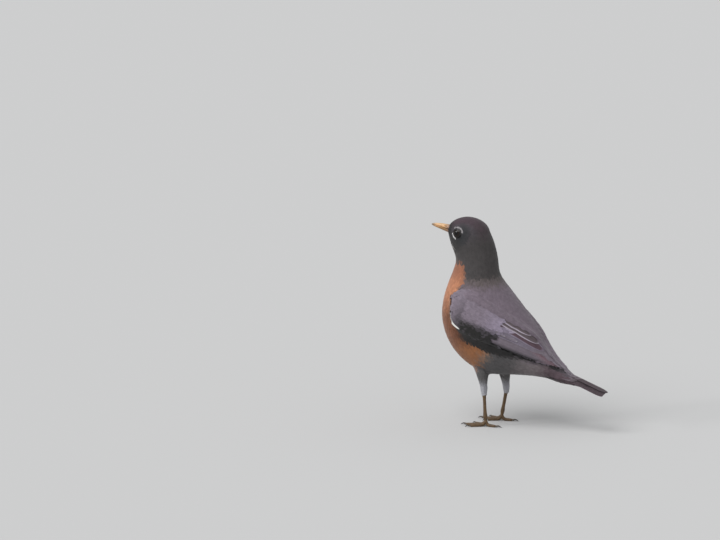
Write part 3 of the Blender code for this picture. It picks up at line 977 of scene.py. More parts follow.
def chart_tree():
    """Quills and coverts over a chart: each runs from its root to its tip, and overlaps its neighbours."""
    kit = new_tree("vanes_over_chart", "Chart", "Rise share", "Cup", "Thickness", "Lane low", "Lane high")
    along, shaped, side = kit.apart(kit.vector("vane"))
    forward, reach, _ = kit.apart(kit.mix("VECTOR", kit.vector("begin"), kit.vector("end"), along))
    is_inner = kit.maths("GREATER_THAN", side, 0.0)
    wide = shaped * kit.mix("FLOAT", kit.named("outer"), kit.named("inner"), is_inner)
    chart = kit.shape("Chart")

    def sampled(value, kind, lane):
        return kit.made("GeometryNodeSampleUVSurface", {"data_type": kind}, Mesh=chart, Value=value,
                        Source_UV_Map=kit.vector("chart"), Sample_UV=kit.together(forward, lane, 0.0))

    lane = (reach + wide) / sampled(kit.named("breadth"), "FLOAT", 0.5)
    lane = kit.maths("MINIMUM", kit.maths("MAXIMUM", lane, kit.given("Lane low")), kit.given("Lane high"))
    deep = kit.named("deep")
    height = deep + kit.eased(along / kit.given("Rise share")) * (kit.named("lift") - deep)
    tilt = kit.named("tilt") * ((side + 1.0) * 0.5)
    crown = side * side * kit.given("Cup")
    under = kit.named("layer") * kit.given("Thickness")
    ridge = kit.ramp(abs(side), 0.0, 0.12, 0.16 * MM, 0.0) * (1.0 - along)
    out = sampled(kit.vector("out"), "FLOAT_VECTOR", lane)
    spot = sampled(kit.made("GeometryNodeInputPosition"), "FLOAT_VECTOR", lane)
    place = kit.vectors("ADD", spot, kit.scaled(out, height - (tilt + (crown + under)) + ridge))
    return finish_tree(kit, place, along * kit.named("length"), wide, kit.named("web"), out)


COAT_TREE = coat_tree()
CHART_TREE = chart_tree()


def point_tree(places):
    """A search tree over places."""
    tree = KDTree(len(places))
    for number, place in enumerate(places):
        tree.insert(place, number)
    tree.balance()
    return tree


SKIN_POINTS = point_tree(SKIN.places)


def at_roots(values, corners, parts):
    """Skin values taken to the roots."""
    return (values[corners] * (parts[:, :, None] if values.ndim > 1 else parts)).sum(1)


def scatter(chosen, gap):
    """Root places on the skin's chosen triangles, no two closer than the gap there.

    Gives for each root its triangle's corners and how much of each corner it takes.
    """
    corners = SKIN.triangles[chosen]
    places = SKIN.places[corners]
    area = 0.5 * np.linalg.norm(np.cross(places[:, 1] - places[:, 0], places[:, 2] - places[:, 0]), axis=1)
    gaps = gap[corners].mean(1)
    weight = area / gaps ** 2
    picked = RANDOM.choice(len(corners), int(weight.sum() * 6), p=weight / weight.sum())
    a, b = RANDOM.random((2, len(picked)))
    flip = a + b > 1
    a, b = np.where(flip, 1 - a, a), np.where(flip, 1 - b, b)
    parts = np.column_stack([1 - a - b, a, b])
    spots = at_roots(SKIN.places, corners[picked], parts)
    tree = point_tree(spots)
    free = np.ones(len(spots), bool)
    kept = []
    for number, spot in enumerate(spots):
        if free[number]:
            kept.append(number)
            free[[near[1] for near in tree.find_range(spot, gaps[picked[number]])]] = False
    return corners[picked[kept]], parts[kept]


def lie_at(places, normals, owners, share, along_body):
    """The way the coat lies: back from the bill, along the spine line and wings, and down the thighs."""
    face = fade(0.05, 0.12, share)[:, None]
    flow = along_body * (1 - face) + unit(places - BILL_ROOT) * face
    for side in SIDES:
        low = WING_EDGES[side][0]
        flow = np.where(owned(owners, f"wing_{side}")[:, None], unit(low[-1] - low[4]), flow)
        gap, along = line_gap(places, low)
        bend = fade(1 * MM, 8 * MM, gap) * fade(0.06, 0.20, along)
        flow = flow + bend[:, None] * (0.7 if side == "left" else -0.7, 0.5, 0)
        down = box_spot(f"shank_{side}", 0.5, 0.5, 1.0) - box_spot(f"thigh_{side}", 0.5, 0.3, 1.0)
        flow = np.where(owned(owners, f"thigh_{side}")[:, None], unit(down), flow)
    for socket in SOCKETS.values():
        reach, _, height = socket.polar(places)
        away = places - socket.centre
        away = unit(away - socket.axis * (away @ socket.axis)[:, None])
        flow = flow + away * (1.5 * fade(5.5 * MM, 8.5 * MM, reach) * (height > 0))[:, None]
    flow = flow + RANDOM.normal(0, 0.07, flow.shape)
    return unit(flow - normals * (flow * normals).sum(1, keepdims=True))


def cut_back(places, lies, lengths, owners):
    """Lengths cut where a tip would lie on a wing's front or lower edge, or past the tail's root."""
    reach = np.ones(len(places))
    spare = 2 * MM * fade(0.03, 0.09, wing_share(places, "left"))
    off_wing = ~owned(owners, "wing")
    for part in np.arange(1.0, 0.27, -0.08):
        spots = places + lies * (lengths * part - spare)[:, None]
        for number in np.flatnonzero(off_wing):
            spot = spots[number]
            under = FLESH[SKIN.owners[SKIN_POINTS.find(spot)[1]]]
            if under.startswith("wing"):
                side = under[5:]
                low, high = [np.linalg.norm(edge - spot, axis=1).min() for edge in WING_EDGES[side]]
                if low < high or wing_share(spot, side) < 0.05:
                    reach[number] = part - 0.04
    room = box_spot("tail", 0.5, TAIL_ROOT_SHARE, 0.5)[1] + 1 * MM - places[:, 1]
    return np.maximum(np.minimum(lengths * reach, room), np.minimum(lengths, 2.2 * MM))


def tip_heights(full, cut, places, owners):
    """How high each tip stands, as a share of the coat's depth: less where a feather is cut short."""
    height = RANDOM.uniform(0.98, 1.02, len(places)) * (0.35 + 0.65 * cut / full)
    height = height + 0.25 * under_shoulder(places)
    for side in SIDES:
        tip = owned(owners, f"wing_{side}") & (wing_share(places, side) > 0.5)
        height = np.where(tip, height * 0.5, height)
    return height


def add_bake_map(mesh):
    """The OFBake map: each feather is a small patch at its root's seat on the unwrapped skin."""
    vane = held(mesh, "vane", 3)
    spots = held(mesh, "seat", 3)[:, :2] + BAKE_PATCH * np.column_stack([vane[:, 1] * 0.5, vane[:, 0]])
    set_map(mesh, "OFBake", spots)


def add_strip_map(mesh, count):
    """The OFBake map of quills: each has a strip, its upper face in one half and its lower in the other."""
    vane = held(mesh, "vane", 3)
    lane = held(mesh, "strip", 1) + 0.02 + 0.5 * held(mesh, "layer", 1) + 0.46 * (vane[:, 2] + 1) / 2
    set_map(mesh, "OFBake", np.column_stack([0.02 + 0.96 * vane[:, 0], lane / count]))


def soften(mesh, share, two_sided):
    """Turn the shading of a coat's vanes part of the way to the skin's, as soft barbs blur their edges."""
    corners = corners_of(mesh)
    if two_sided:
        sizes = gather(mesh.polygons, "loop_total", 1, int)
        own = np.repeat(gather(mesh.polygons, "normal", 3), sizes, axis=0)
    else:
        own = normals_of(mesh)[corners]
    under = unit(held(mesh, "under", 3))[corners]
    facing = (own * under).sum(1, keepdims=True)
    under *= np.sign(facing if two_sided else np.median(facing))
    mesh.normals_split_custom_set(unit(own * (1 - share) + under * share).tolist())


# Facts that only the trees and the maps need, and that the finished coats drop
ROOT_FACTS = ("lie", "face", "root", "length", "width", "lift", "kind", "seat", "begin", "end", "outer",
              "inner", "deep", "tilt", "web", "strip", "layer", "under", "chance")


def make_coat(name, roots, facts, vanes, finish, tree, given, softness, strips=0, flip=False):
    """A coat piece grown by a geometry tree from roots, with each root's facts by name."""
    obj = mesh_object(name, roots)
    for label, values in facts.items():
        hold(obj.data, label, values)
    grown(obj, tree, {"Vanes": vanes, "Finish": finish, **given})
    mesh = obj.data
    if flip:
        mesh.flip_normals()
    if strips:
        add_strip_map(mesh, strips)
    else:
        add_bake_map(mesh)
    soften(mesh, softness, bool(strips))
    vane = held(mesh, "vane", 3)
    vane = np.column_stack([vane[:, 0], vane[:, 2], held(mesh, "chance", 1)])
    mesh.attributes["vane"].data.foreach_set("vector", vane.astype(np.float32).ravel())
    for label in ROOT_FACTS:
        if label in mesh.attributes:
            mesh.attributes.remove(mesh.attributes[label])
    return obj


def unwrap_seat(share, turn):
    """Where roots sit on the skin unwrapped round the spine line, spread over the whole map."""
    reach = (share - share.min()) / max(np.ptp(share), 1e-6)
    around = (turn - turn.min()) / max(np.ptp(turn), 1e-6)
    return np.column_stack([0.01 + 0.97 * reach, 0.01 + 0.97 * around, np.zeros(len(share))])


def feather_sizes(share, places):
    """The gap between roots, the length and the width of the feathers at each share of the spine line."""
    table = np.array(FEATHER_SIZES)
    small = 1 - 0.35 * fade(6 * MM, 9 * MM, eye_gap(places))
    return [np.interp(share, table[:, 0], table[:, k]) * MM * small for k in (1, 2, 3)]


def body_coat(name, chosen, slot):
    """Small feathers over the skin's chosen triangles."""
    corners, parts = scatter(chosen, feather_sizes(SKIN.share, SKIN.places)[0])
    places, share, flow, swing = [at_roots(values, corners, parts)
                                  for values in (SKIN.places, SKIN.share, SKIN.flow, SKIN.swing)]
    normals = unit(at_roots(SKIN.normals, corners, parts))
    turn = turn_of(swing)
    owners = SKIN.owners[corners[np.arange(len(corners)), parts.argmax(1)]]
    _, length, width = feather_sizes(share, places)
    for part, long, broad in (("thigh", 5 * MM, 2.6 * MM), ("wing", 6.5 * MM, 3.6 * MM)):
        mine = owned(owners, part)
        length, width = np.where(mine, long, length), np.where(mine, broad, width)
    top = under_shoulder(places)
    length, width = length * (1 - top) + 12 * MM * top, width * (1 - top) + 5.5 * MM * top
    lie = lie_at(places, normals, owners, share, unit(flow))
    full = length * RANDOM.uniform(0.85, 1.15, len(places))
    length = cut_back(places, lie, full, owners)
    chance = RANDOM.random(len(places))
    shown = share + 0.6 * length / SPINE.length
    colour = markings(places, owners, shown, turn, RANDOM.normal(0, 1, len(places)))
    warm = colour[:, 0] > 2.2 * colour[:, 2]
    facts = {
        "root": places, "face": normals, "lie": lie, "length": length,
        "width": width * RANDOM.uniform(0.85, 1.15, len(places)),
        "lift": tip_heights(full, length, places, owners),
        "kind": RANDOM.integers(0, 5, len(places)),
        "seat": unwrap_seat(share, turn), "chance": chance,
        "plume": colour, "tip": colour * 1.06,
        "edge": np.where(warm[:, None], colour * (1.45, 1.5, 1.55), colour * 1.25),
        "rim": np.full(len(places), 0.6), "shaft": np.where(warm, 0.0, 0.35),
    }
    coat = make_coat(name, places, facts, SOFT_VANES, SOFT, COAT_TREE,
                     {"Skin": SKIN.obj, "Root height": 0.03, "Cup": 0.08}, 0.8)
    keep(coat, None, slot)


# Pieces of the coat of small feathers: name, shares of the spine line, turns, nodes, finish slot
BODY = ("head", "neck", "trunk", "tail")
COAT_PIECES = (
    ("coat_head", 0.0, 0.135, 0, 181, BODY, "dark_feathers"),
    ("coat_neck", 0.135, 0.27, 0, 181, BODY, "dark_feathers"),
    ("coat_breast", 0.27, 0.575, 0, 100, BODY, "breast_feathers"),
    ("coat_back", 0.27, 1.01, 100, 181, BODY, "wing_feathers"),
    ("coat_vent", 0.575, 1.01, 0, 100, BODY, "thigh_feathers"),
    ("coat_thighs", 0.0, 1.01, 0, 181, ("thigh",), "thigh_feathers"),
    ("coat_shoulder_left", 0.0, 1.01, 0, 181, ("wing_left",), "wing_feathers"),
    ("coat_shoulder_right", 0.0, 1.01, 0, 181, ("wing_right",), "wing_feathers"),
)


# Where small feathers grow on a wing: up to a share of its length, in a strip along its upper edge, and from
# another share on over its whole upper half, beside the rump
SHOULDER_END = 0.38
WING_STRIP = 3.5 * MM
RUMP_SHARE = 0.68


def region(low, high, first, last, nodes):
    """The nodes' skin triangles between two shares of the spine line and two turns, less eyes and quills."""
    share = SKIN.share[SKIN.triangles].mean(1)
    around = np.abs(SKIN.turn[SKIN.triangles]).mean(1)
    owners = SKIN.owners[SKIN.triangles[:, 0]]
    chosen = (share >= low) & (share < high) & (around >= first) & (around < last) & owned(owners, *nodes)
    middles = SKIN.places[SKIN.triangles].mean(1)
    for side in SIDES:
        reach, _, height = SOCKETS[side].polar(middles)
        chosen &= (reach > EYE_BARE) | (height < 0)
        along = wing_share(middles, side)
        edge = along + RANDOM.normal(0, 0.02, len(middles))
        under, over = [line_gap(middles, line)[0] for line in WING_EDGES[side]]
        feathered = (edge < SHOULDER_END) | ((along > RUMP_SHARE) & (over < under)) | (over < WING_STRIP)
        chosen &= ~owned(owners, f"wing_{side}") | feathered
    return chosen


for label, *limits, slot_name in COAT_PIECES:
    body_coat(label, region(*limits), slot_name)


# Charts run a bit past their faces: shares where they start and end, and steps on the face and past it
CHART_LOW = -0.08
CHART_HIGH = 1.08
CHART_STEPS = 50
CHART_EXTRA = round(CHART_STEPS * (CHART_HIGH - 1))
# How far the sides of the folded tail, and of the feathers under it, curve away from its middle
TAIL_CAMBER = 1.6 * MM
VENT_CAMBER = 2.2 * MM


def chart_grid(start, end, left=-1, right=1):
    """A grid of how far along a chart each of its points lies, and one of how far across."""
    return np.meshgrid(np.linspace(start, end, CHART_STEPS + 1), np.linspace(left, right, CHART_STEPS + 1),
                       indexing="ij")


def carried_on(places):
    """A grid of places carried straight on past both ends of its rows."""
    first, last = places[:, :1] - places[:, 1:2], places[:, -1:] - places[:, -2:-1]
    start = places[:, :1] + first * np.arange(CHART_EXTRA, 0, -1)[None, :, None]
    end = places[:, -1:] + last * np.arange(1, CHART_EXTRA + 1)[None, :, None]
    return np.concatenate([start, places, end], axis=1)


class Chart:
    """A map of a face that quills lie on: along it in rows, and across it in columns, from 0 to 1."""

    def __init__(self, name, places, outward):
        grid = carried_on(carried_on(places).transpose(1, 0, 2)).transpose(1, 0, 2)
        rows, columns, _ = grid.shape
        normals = unit(np.cross(np.gradient(grid, axis=0), np.gradient(grid, axis=1)))
        normals *= np.sign((normals[rows // 2, columns // 2] * outward).sum())
        lengths = np.linalg.norm(np.diff(places, axis=1), axis=2).sum(1)
        self.breadths = np.pad(lengths, CHART_EXTRA, mode="edge")
        self.marks = np.linspace(CHART_LOW, CHART_HIGH, rows)
        self.length = np.linalg.norm(np.diff(places[:, CHART_STEPS // 2], axis=0), axis=1).sum()
        self.obj = mesh_object(name, grid.reshape(-1, 3), grid_faces(rows, columns))
        hold(self.obj.data, "out", normals.reshape(-1, 3))
        hold(self.obj.data, "breadth", np.repeat(self.breadths, columns))
        u, v = np.meshgrid(self.marks, np.linspace(CHART_LOW, CHART_HIGH, columns), indexing="ij")
        set_map(self.obj.data, "chart", np.column_stack([u.ravel(), v.ravel()]))
        bpy.context.scene.collection.objects.unlink(self.obj)

    def breadth(self, along):
        """How broad the chart is at shares of its length, in millimetres."""
        return np.interp(along, self.marks, self.breadths) / MM


def wing_chart(side):
    """A wing's outer face, along it from the bend to the tip and across it from its lower edge up."""
    low, high = [curve_through(edge, CHART_STEPS + 1) for edge in WING_EDGES[side]]
    share = np.linspace(0, 1, CHART_STEPS + 1)[None, :, None]
    flat = low[:, None] * (1 - share) + high[:, None] * share
    outward = unit(np.cross(np.gradient(low, axis=0), high - low))
    outward *= np.sign(outward[:, :1]) * (1 if side == "left" else -1)
    tree = node_tree(f"wing_{side}")
    places = np.empty_like(flat)
    for r, row in enumerate(flat):
        ray = Vector(-outward[r])
        for c, spot in enumerate(row):
            hit = tree.ray_cast(Vector(spot) - ray * 0.03, ray, 0.06)[0]
            places[r, c] = hit if hit else tree.find_nearest(spot)[0]
    for _ in range(4):
        around = places[:-2, 1:-1] + places[2:, 1:-1] + places[1:-1, :-2] + places[1:-1, 2:]
        places[1:-1, 1:-1] = 0.5 * places[1:-1, 1:-1] + 0.125 * around
    return Chart(f"wing_chart_{side}", places, outward[CHART_STEPS // 2])


def tail_chart():
    """The folded tail's upper face, along it from under the rump to the tip, across from right to left."""
    tree = node_tree("tail")
    low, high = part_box("tail")
    lengths = np.linspace(low.y + TAIL_ROOT_SHARE * (high.y - low.y), high.y - MM, 8)
    tops = [tree.ray_cast(Vector((0, y, 1)), Vector((0, 0, -1)))[0].z for y in lengths]
    slope, start = np.polyfit(lengths, tops, 1)
    y, across = chart_grid(low.y, high.y)
    half = high.x * (0.82 + 0.18 * (y - low.y) / (high.y - low.y))
    places = np.stack([across * half, y, start + slope * y - TAIL_CAMBER * across ** 2], axis=2)
    return Chart("tail_chart", places, np.array([0.0, 0.0, 1.0]))


def vent_chart():
    """The face under the vent and the tail's root, along it to the tip, across it from right to left."""
    trees = [node_tree(node) for node in ("trunk", "tail")]
    low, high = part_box("tail")
    lengths = np.linspace(low.y - 12 * MM, high.y - 4 * MM, 14)
    hits = [[tree.ray_cast(Vector((0, y, -1)), Vector((0, 0, 1)))[0] for tree in trees] for y in lengths]
    fit = np.polyfit(lengths, [min(hit.z for hit in pair if hit) for pair in hits], 3)
    y, across = chart_grid(lengths[0], lengths[-1])
    half = high.x * np.interp(y, (lengths[0], low.y + 20 * MM, high.y), (1.0, 0.88, 0.72))
    places = np.stack([across * half, y, np.polyval(fit, y) + VENT_CAMBER * across ** 2], axis=2)
    return Chart("vent_chart", places, np.array([0.0, 0.0, -1.0]))


class Quills:
    """A list of quills or coverts for one chart, which becomes one coat piece."""

    def __init__(self, chart):
        self.chart = chart
        self.rows = []

    def add(self, begin, end, outer, inner, kind, plume, edge, heights, tilt, rim=1.0, web=1.0, shaft=0.5,
            tip=None):
        """One quill from begin to end as (share along, reach across), with webs and heights in millimetres.

        tilt lowers its inner edge, and rim, web and shaft tell how strong its pale edge, its dark inner web
        and its shaft are.
        """
        shift = 1 + RANDOM.normal(0, 0.06)
        around = begin[1] / self.chart.breadth(begin[0])
        self.rows.append({
            "begin": (begin[0], begin[1] * MM, 0), "end": (end[0], end[1] * MM, 0), "outer": outer * MM,
            "inner": inner * MM, "kind": kind, "plume": plume * shift, "edge": edge * shift,
            "tip": (plume if tip is None else tip) * shift, "deep": heights[0] * MM,
            "lift": heights[1] * MM, "tilt": tilt * MM, "rim": rim, "web": web, "shaft": shaft,
            "length": (end[0] - begin[0]) * self.chart.length, "chance": RANDOM.random(),
            "seat": [*(0.01 + 0.97 * np.clip((begin[0], around), 0, 1)), 0], "strip": len(self.rows)})

    def add_covert(self, along, reach, root, length, half, *looks):
        """A covert with its tip at a share along the chart, and its root further back by its length."""
        begin = (along - length * MM / self.chart.length, root)
        self.add(begin, (along, reach), *half, any_vane(), *looks)

    def make(self, name, vanes, finish, slot, rise, cup, thickness=0.0, flip=False, edge=(-0.02, 1.0)):
        """The coat piece of all the quills in the list: thick ones are closed, and have a map of strips."""
        facts = {label: np.array([row[label] for row in self.rows]) for label in self.rows[0]}
        given = {"Chart": self.chart.obj, "Lane low": edge[0], "Lane high": edge[1], "Rise share": rise,
                 "Cup": cup * MM, "Thickness": thickness * MM}
        coat = make_coat(name, np.zeros((len(self.rows), 3)), facts, vanes, finish, CHART_TREE, given,
                         0.6 if thickness else 0.65, len(self.rows) if thickness else 0, flip)
        keep(coat, None, slot)


# Wing quills from the outermost in: where each tip lies along the wing, and how far its outer edge is from
# the wing's lower edge at its root and at its tip, in millimetres; tertials add a web's width and two tones
PRIMARIES = ((0.945, 0.4, 0.6), (0.975, 1.6, 1.0), (0.998, 2.8, 1.4), (0.975, 4.0, 2.2), (0.950, 5.2, 3.2),
             (0.922, 6.4, 4.3), (0.893, 7.6, 5.4), (0.864, 8.8, 6.5), (0.836, 10.0, 7.6))
SECONDARIES = ((0.806, 12.0, 8.6), (0.804, 14.0, 9.8), (0.801, 16.0, 11.0), (0.798, 18.0, 12.1),
               (0.794, 20.0, 13.1), (0.790, 21.5, 14.0))
TERTIALS = ((0.805, 23.0, 10.3, 4.6, "tertial_dark", "secondary"),
            (0.745, 27.5, 15.8, 5.0, "tertial", "pale_edge"),
            (0.665, 31.5, 21.2, 5.0, "tertial", "pale_edge"))


def wing_quills(side, chart):
    """Primaries, secondaries and tertials: the inner ones lie over the inner webs of the outer ones."""
    quills = Quills(chart)
    for number, (tip, root_edge, tip_edge) in enumerate(PRIMARIES):
        # painted shadow: the lowest primaries and their edges are painted partway to the dark tone below the
        # wing, partly their own dark colour and partly painted shade along the wing's lower edge
        dark = max(0.0, 1 - 0.3 * number)
        plume, edge = mixed("primary", "under_wing_shadow", [dark])[0], tone("secondary") * (0.85 - 0.6 * dark)
        quills.add((0.30, root_edge + 1.3), (tip, tip_edge + 1.0), 1.3, 8.0, 0, plume, edge,
                   (-1.5, -0.55 + 0.02 * number), 0.7, rim=0.5, web=0.5, tip=tone("primary_tip"))
    for number, (tip, root_edge, tip_edge) in enumerate(SECONDARIES):
        plume, edge = tone("secondary") * 0.76, tone("pale_edge") * 0.76
        quills.add((0.32, root_edge + 2.0), (tip, tip_edge + 1.8), 2.0, 6.5, 1, plume, edge,
                   (-1.4, -0.35 + 0.02 * number), 0.7, rim=0.5, tip=tone("primary"))
    for number, (tip, root_edge, tip_edge, web, name, rim) in enumerate(TERTIALS):
        quills.add((0.34, root_edge + web), (tip, tip_edge + web), web, web + 1.5, 2, tone(name),
                   tone(rim) * 1.1, (-1.2, -0.05 + 0.12 * number), 0.4, web=0.0)
    quills.make(f"wing_quills_{side}", QUILL_VANES, FIRM, "wing_feathers", 0.5, 0.10, 0.16, side == "left")


# Rows of wing coverts: the first and last tip as shares along and across the wing, count, length and half
# width in millimetres, tone, and how strong the pale edge is
COVERT_ROWS = (
    ((0.330, 0.16), (0.440, 0.96), 13, 15, 3.4, "median", 0.35),
    ((0.440, 0.20), (0.645, 0.94), 13, 24, 4.0, "greater", 0.5),
    ((0.430, 0.03), (0.470, 0.19), 7, 20, 2.3, "wing_front", 0.45),
    ((0.290, 0.02), (0.330, 0.15), 5, 16, 2.2, "wing_front", 0.25),
    ((0.360, 0.02), (0.340, 0.10), 3, 18, 2.4, "wing_front", 0.5),
)

# Narrow alula feathers, and median coverts with pale tips: where each tip lies on the wing, along and across
ALULA_TIPS = ((0.44, 0.26), (0.49, 0.31), (0.52, 0.37), (0.50, 0.43))
PALE_TIPS = ((0.25, 0.55), (0.30, 0.57), (0.35, 0.60), (0.53, 0.40), (0.575, 0.39), (0.62, 0.41))


def wing_coverts(side, chart):
    """Coverts in rows, each row over the roots of the next, with the alula and pale tips on top."""
    coverts = Quills(chart)
    for first, last, count, length, half, name, pale in reversed(COVERT_ROWS):
        for place in np.linspace(0, 1, count):
            along = first[0] + (last[0] - first[0]) * place + RANDOM.normal(0, 0.012)
            across = first[1] + (last[1] - first[1]) * place + RANDOM.normal(0, 0.008)
            reach = across * chart.breadth(along)
            front = fade(0.22, 0.48, across + 0.6 * (along - 0.33) + RANDOM.normal(0, 0.04))
            plume = mixed(name, "wing_front", [front * 0.95])[0]
            edge = mixed(plume * 1.15, "pale_edge", [pale])[0]
            beyond = "secondary" if across > 0.25 else "wing_front"
            vane = any_vane()
            begin = (along - length * MM / chart.length, reach + 0.8)
            coverts.add(begin, (along, reach), half, half + 0.4, vane, plume, edge,
                        (-1.3, RANDOM.normal(0, 0.04)), 0.25, 0.8, 0.3, 0.3, mixed(plume, beyond, [0.35])[0])
    for number, (along, across) in enumerate(ALULA_TIPS):
        reach = across * chart.breadth(along)
        coverts.add((0.28, reach + 2.5), (along, reach), 1.0, 1.4, number, tone("alula"),
                    tone("alula_edge"), (-0.6, 0.22), 0.2, 0.9, 0.0, 0.2)
    for along, across in PALE_TIPS:
        reach = across * chart.breadth(along)
        plume = mixed("median", "wing_front", [0.25])[0]
        coverts.add_covert(along, reach, reach + 0.6, 9, (1.5, 1.7), plume, plume * 1.2, (-0.6, 0.30),
                           0.2, 0.3, 0.0, 0.3, tone("covert_tip"))
    white = tone("white")
    for along in np.linspace(0.135, 0.235, 10):
        coverts.add((along - 0.05, 0.1), (along, 0.2), 0.8, 0.8, 2, white, white, (0.1, 0.75), 0.2, 0.0, 0.0,
                    0.0)
    coverts.make(f"wing_coverts_{side}", COVERT_VANES, FIRM, "wing_feathers", 1.0, 0.25,
                 flip=side == "left")


def tail_quills(chart):
    """Twelve tail quills: the middle pair on top, and each outer pair a little lower and further out."""
    quills = Quills(chart)
    for number in range(5, -1, -1):
        for turn in (1, -1):
            off = turn * (0.7 + 1.55 * number)
            webs = (3.0, 6.0) if turn < 0 else (6.0, 3.0)
            height = -0.55 * number - (0.25 if turn > 0 else 0.0)
            root, end = chart.breadth(0.0) / 2 + off * 0.8, chart.breadth(1.0) / 2 + off
            quills.add((-0.06, root), (0.992 - 0.004 * number, end), *webs, 3, tone("tail"),
                       tone("tail_edge"), (height - 1.8 + 0.3 * number, height), 0.0, 0.6, 0.0, 0.6)
    quills.make("tail_quills", QUILL_VANES, FIRM, "tail_feathers", 0.6, 0.25, 0.22)


def tail_coverts(name, chart, tips, layers, length, half, flip):
    """Soft coverts in rows over the tail's root, in layers that fill it out, each deeper layer painted
    darker as shade under the ones over it.
    """
    rows = Quills(chart)
    for layer in range(layers - 1, -1, -1):
        for tip in tips:
            sink = 1.2 * layer * (1 - 0.8 * ramp(0.35, 0.70, tip)) + 2.6 * ramp(0.62, 0.92, tip)
            side_reach = 0.78 if layers == 1 else 0.9 - 0.45 * ramp(0.45, 0.75, tip)
            for place in np.linspace(-side_reach, side_reach, 8) + RANDOM.normal(0, 0.04, 8):
                along = tip - (0.12 if layers == 1 else 0.05) * place ** 2 + RANDOM.normal(0, 0.008)
                breadth = chart.breadth(along)
                reach = (0.5 + 0.5 * place) * breadth
                plume = mixed("vent", "flank_back", ramp(0.2, 0.5, [abs(place)]))[0]
                plume = mixed(plume, "under_tail", ramp(0.25, 0.55, [tip]))[0]
                if layers == 1:
                    plume = mixed("rump", "tail_edge", ramp(0.30, 0.55, [tip]))[0]
                    sink = max(0.0, 0.35 * abs(reach - 0.5 * breadth) - 0.5) - 0.45
                # painted shade: each deeper layer, lying under the ones above it, is a fifth darker
                rows.add_covert(along, reach, (0.5 + 0.56 * place) * breadth, length, (half, half),
                                plume * (1 - 0.2 * layer), plume * 1.15, (-1.6 - sink, -0.15 - sink),
                                0.0, 0.5, 0.0, 0.3)
    rows.make(name, SOFT_VANES, SOFT, "tail_feathers", 1.0, 0.4, flip=flip, edge=(-0.07, 1.07))


def leg_cuff(side):
    """Narrow feathers that close the thigh's lower end round the bare shank."""
    shank = points_of(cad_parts[f"shank_{side}"].data)
    knee = shank[shank[:, 2] > shank[:, 2].max() - 1 * MM].mean(0)
    tree = node_tree(f"thigh_{side}")
    top = box_spot(f"thigh_{side}", 0.5, 0.5, 0.0) + (0, 0, 9 * MM)
    rays = [Vector((math.cos(a), math.sin(a), 0)) for a in np.linspace(0, 2 * math.pi, 24, endpoint=False)]
    hits = [tree.ray_cast(Vector((*knee[:2], top[2])) - ray * 0.03, ray, 0.06)[0] for ray in rays]
    hits = np.array([hit for hit in hits if hit])
    middle = hits.mean(0)
    broad = np.linalg.norm((hits - middle)[:, :2], axis=1).mean()
    part, turn = chart_grid(0, 1, 0, 2 * math.pi)
    bottom = knee - (0, 0, 3.0 * MM)
    radius = broad + (2.35 * MM - broad) * ramp(0.0, 1.0, part)
    centre = middle * (1 - part[:, :, None]) + bottom * part[:, :, None]
    places = centre + np.stack([np.cos(turn) * radius, np.sin(turn) * radius, part * 0], axis=2)
    chart = Chart(f"cuff_chart_{side}", places, np.array([-1.0, 0.0, 0.0]))
    cuff = Quills(chart)
    for tip in (0.99, 0.88, 0.77, 0.66):
        for place in np.linspace(0.02, 0.98, 15):
            along = tip + RANDOM.normal(0, 0.02)
            plume = tone("thigh_low") * (0.80 + 0.2 * tip)
            cuff.add_covert(along, place * chart.breadth(along), place * chart.breadth(0.3), 7.5, (1.0, 1.0),
                            plume, plume * 1.08, (-0.9, 0.30), 0.0, 0.4, 0.0, 0.2)
    cuff.make(f"leg_cuff_{side}", SOFT_VANES, SOFT, "thigh_feathers", 0.8, 0.1)


def make_wings_and_tail():
    """Both wings' feathers, the cuffs over the shanks and the tail."""
    for side in SIDES:
        leg_cuff(side)
        chart = wing_chart(side)
        wing_quills(side, chart)
        wing_coverts(side, chart)
    chart = tail_chart()
    tail_quills(chart)
    tail_coverts("tail_coverts_upper", chart, (0.25, 0.32, 0.39, 0.46, 0.53), 1, 14, 3.2, False)
    under = (0.30, 0.40, 0.50, 0.58, 0.66, 0.74, 0.81, 0.87)
    tail_coverts("tail_coverts_under", vent_chart(), under, 3, 15, 3.0, True)


make_wings_and_tail()


def ring_mesh(name, socket, rings, closed):
    """A mesh round an eye's axis from a line of (reach, height) at each turn, closed or open."""
    turns, count = len(rings), len(rings[0])
    places = [socket.spot(reach * MM, 360 * k / turns, height * MM)
              for k, ring in enumerate(rings) for reach, height in ring]
    faces = []
    for k in range(turns):
        here, after = k * count, (k + 1) % turns * count
        for j in range(count if closed else count - 1):
            ahead = (j + 1) % count
            faces.append((here + j, here + ahead, after + ahead, after + j))
    obj = mesh_object(name, places, faces)
    bm = bmesh.new()
    bm.from_mesh(obj.data)
    bmesh.ops.remove_doubles(bm, verts=bm.verts, dist=1e-6)
    bmesh.ops.recalc_face_normals(bm, faces=bm.faces)
    bm.to_mesh(obj.data)
    bm.free()
    return obj


# Eyeball, in millimetres: its half breadth, how high that lies, and how far its front and back bulge
BALL_REACH = 4.9
BALL_MIDDLE = 1.45
BALL_FRONT = 2.9
BALL_BACK = 3.4


def ball_height(reach):
    """How high the eyeball's front stands at a reach from its axis, in millimetres."""
    return BALL_MIDDLE + BALL_FRONT * math.sqrt(max(0.0, 1 - (reach / BALL_REACH) ** 2))


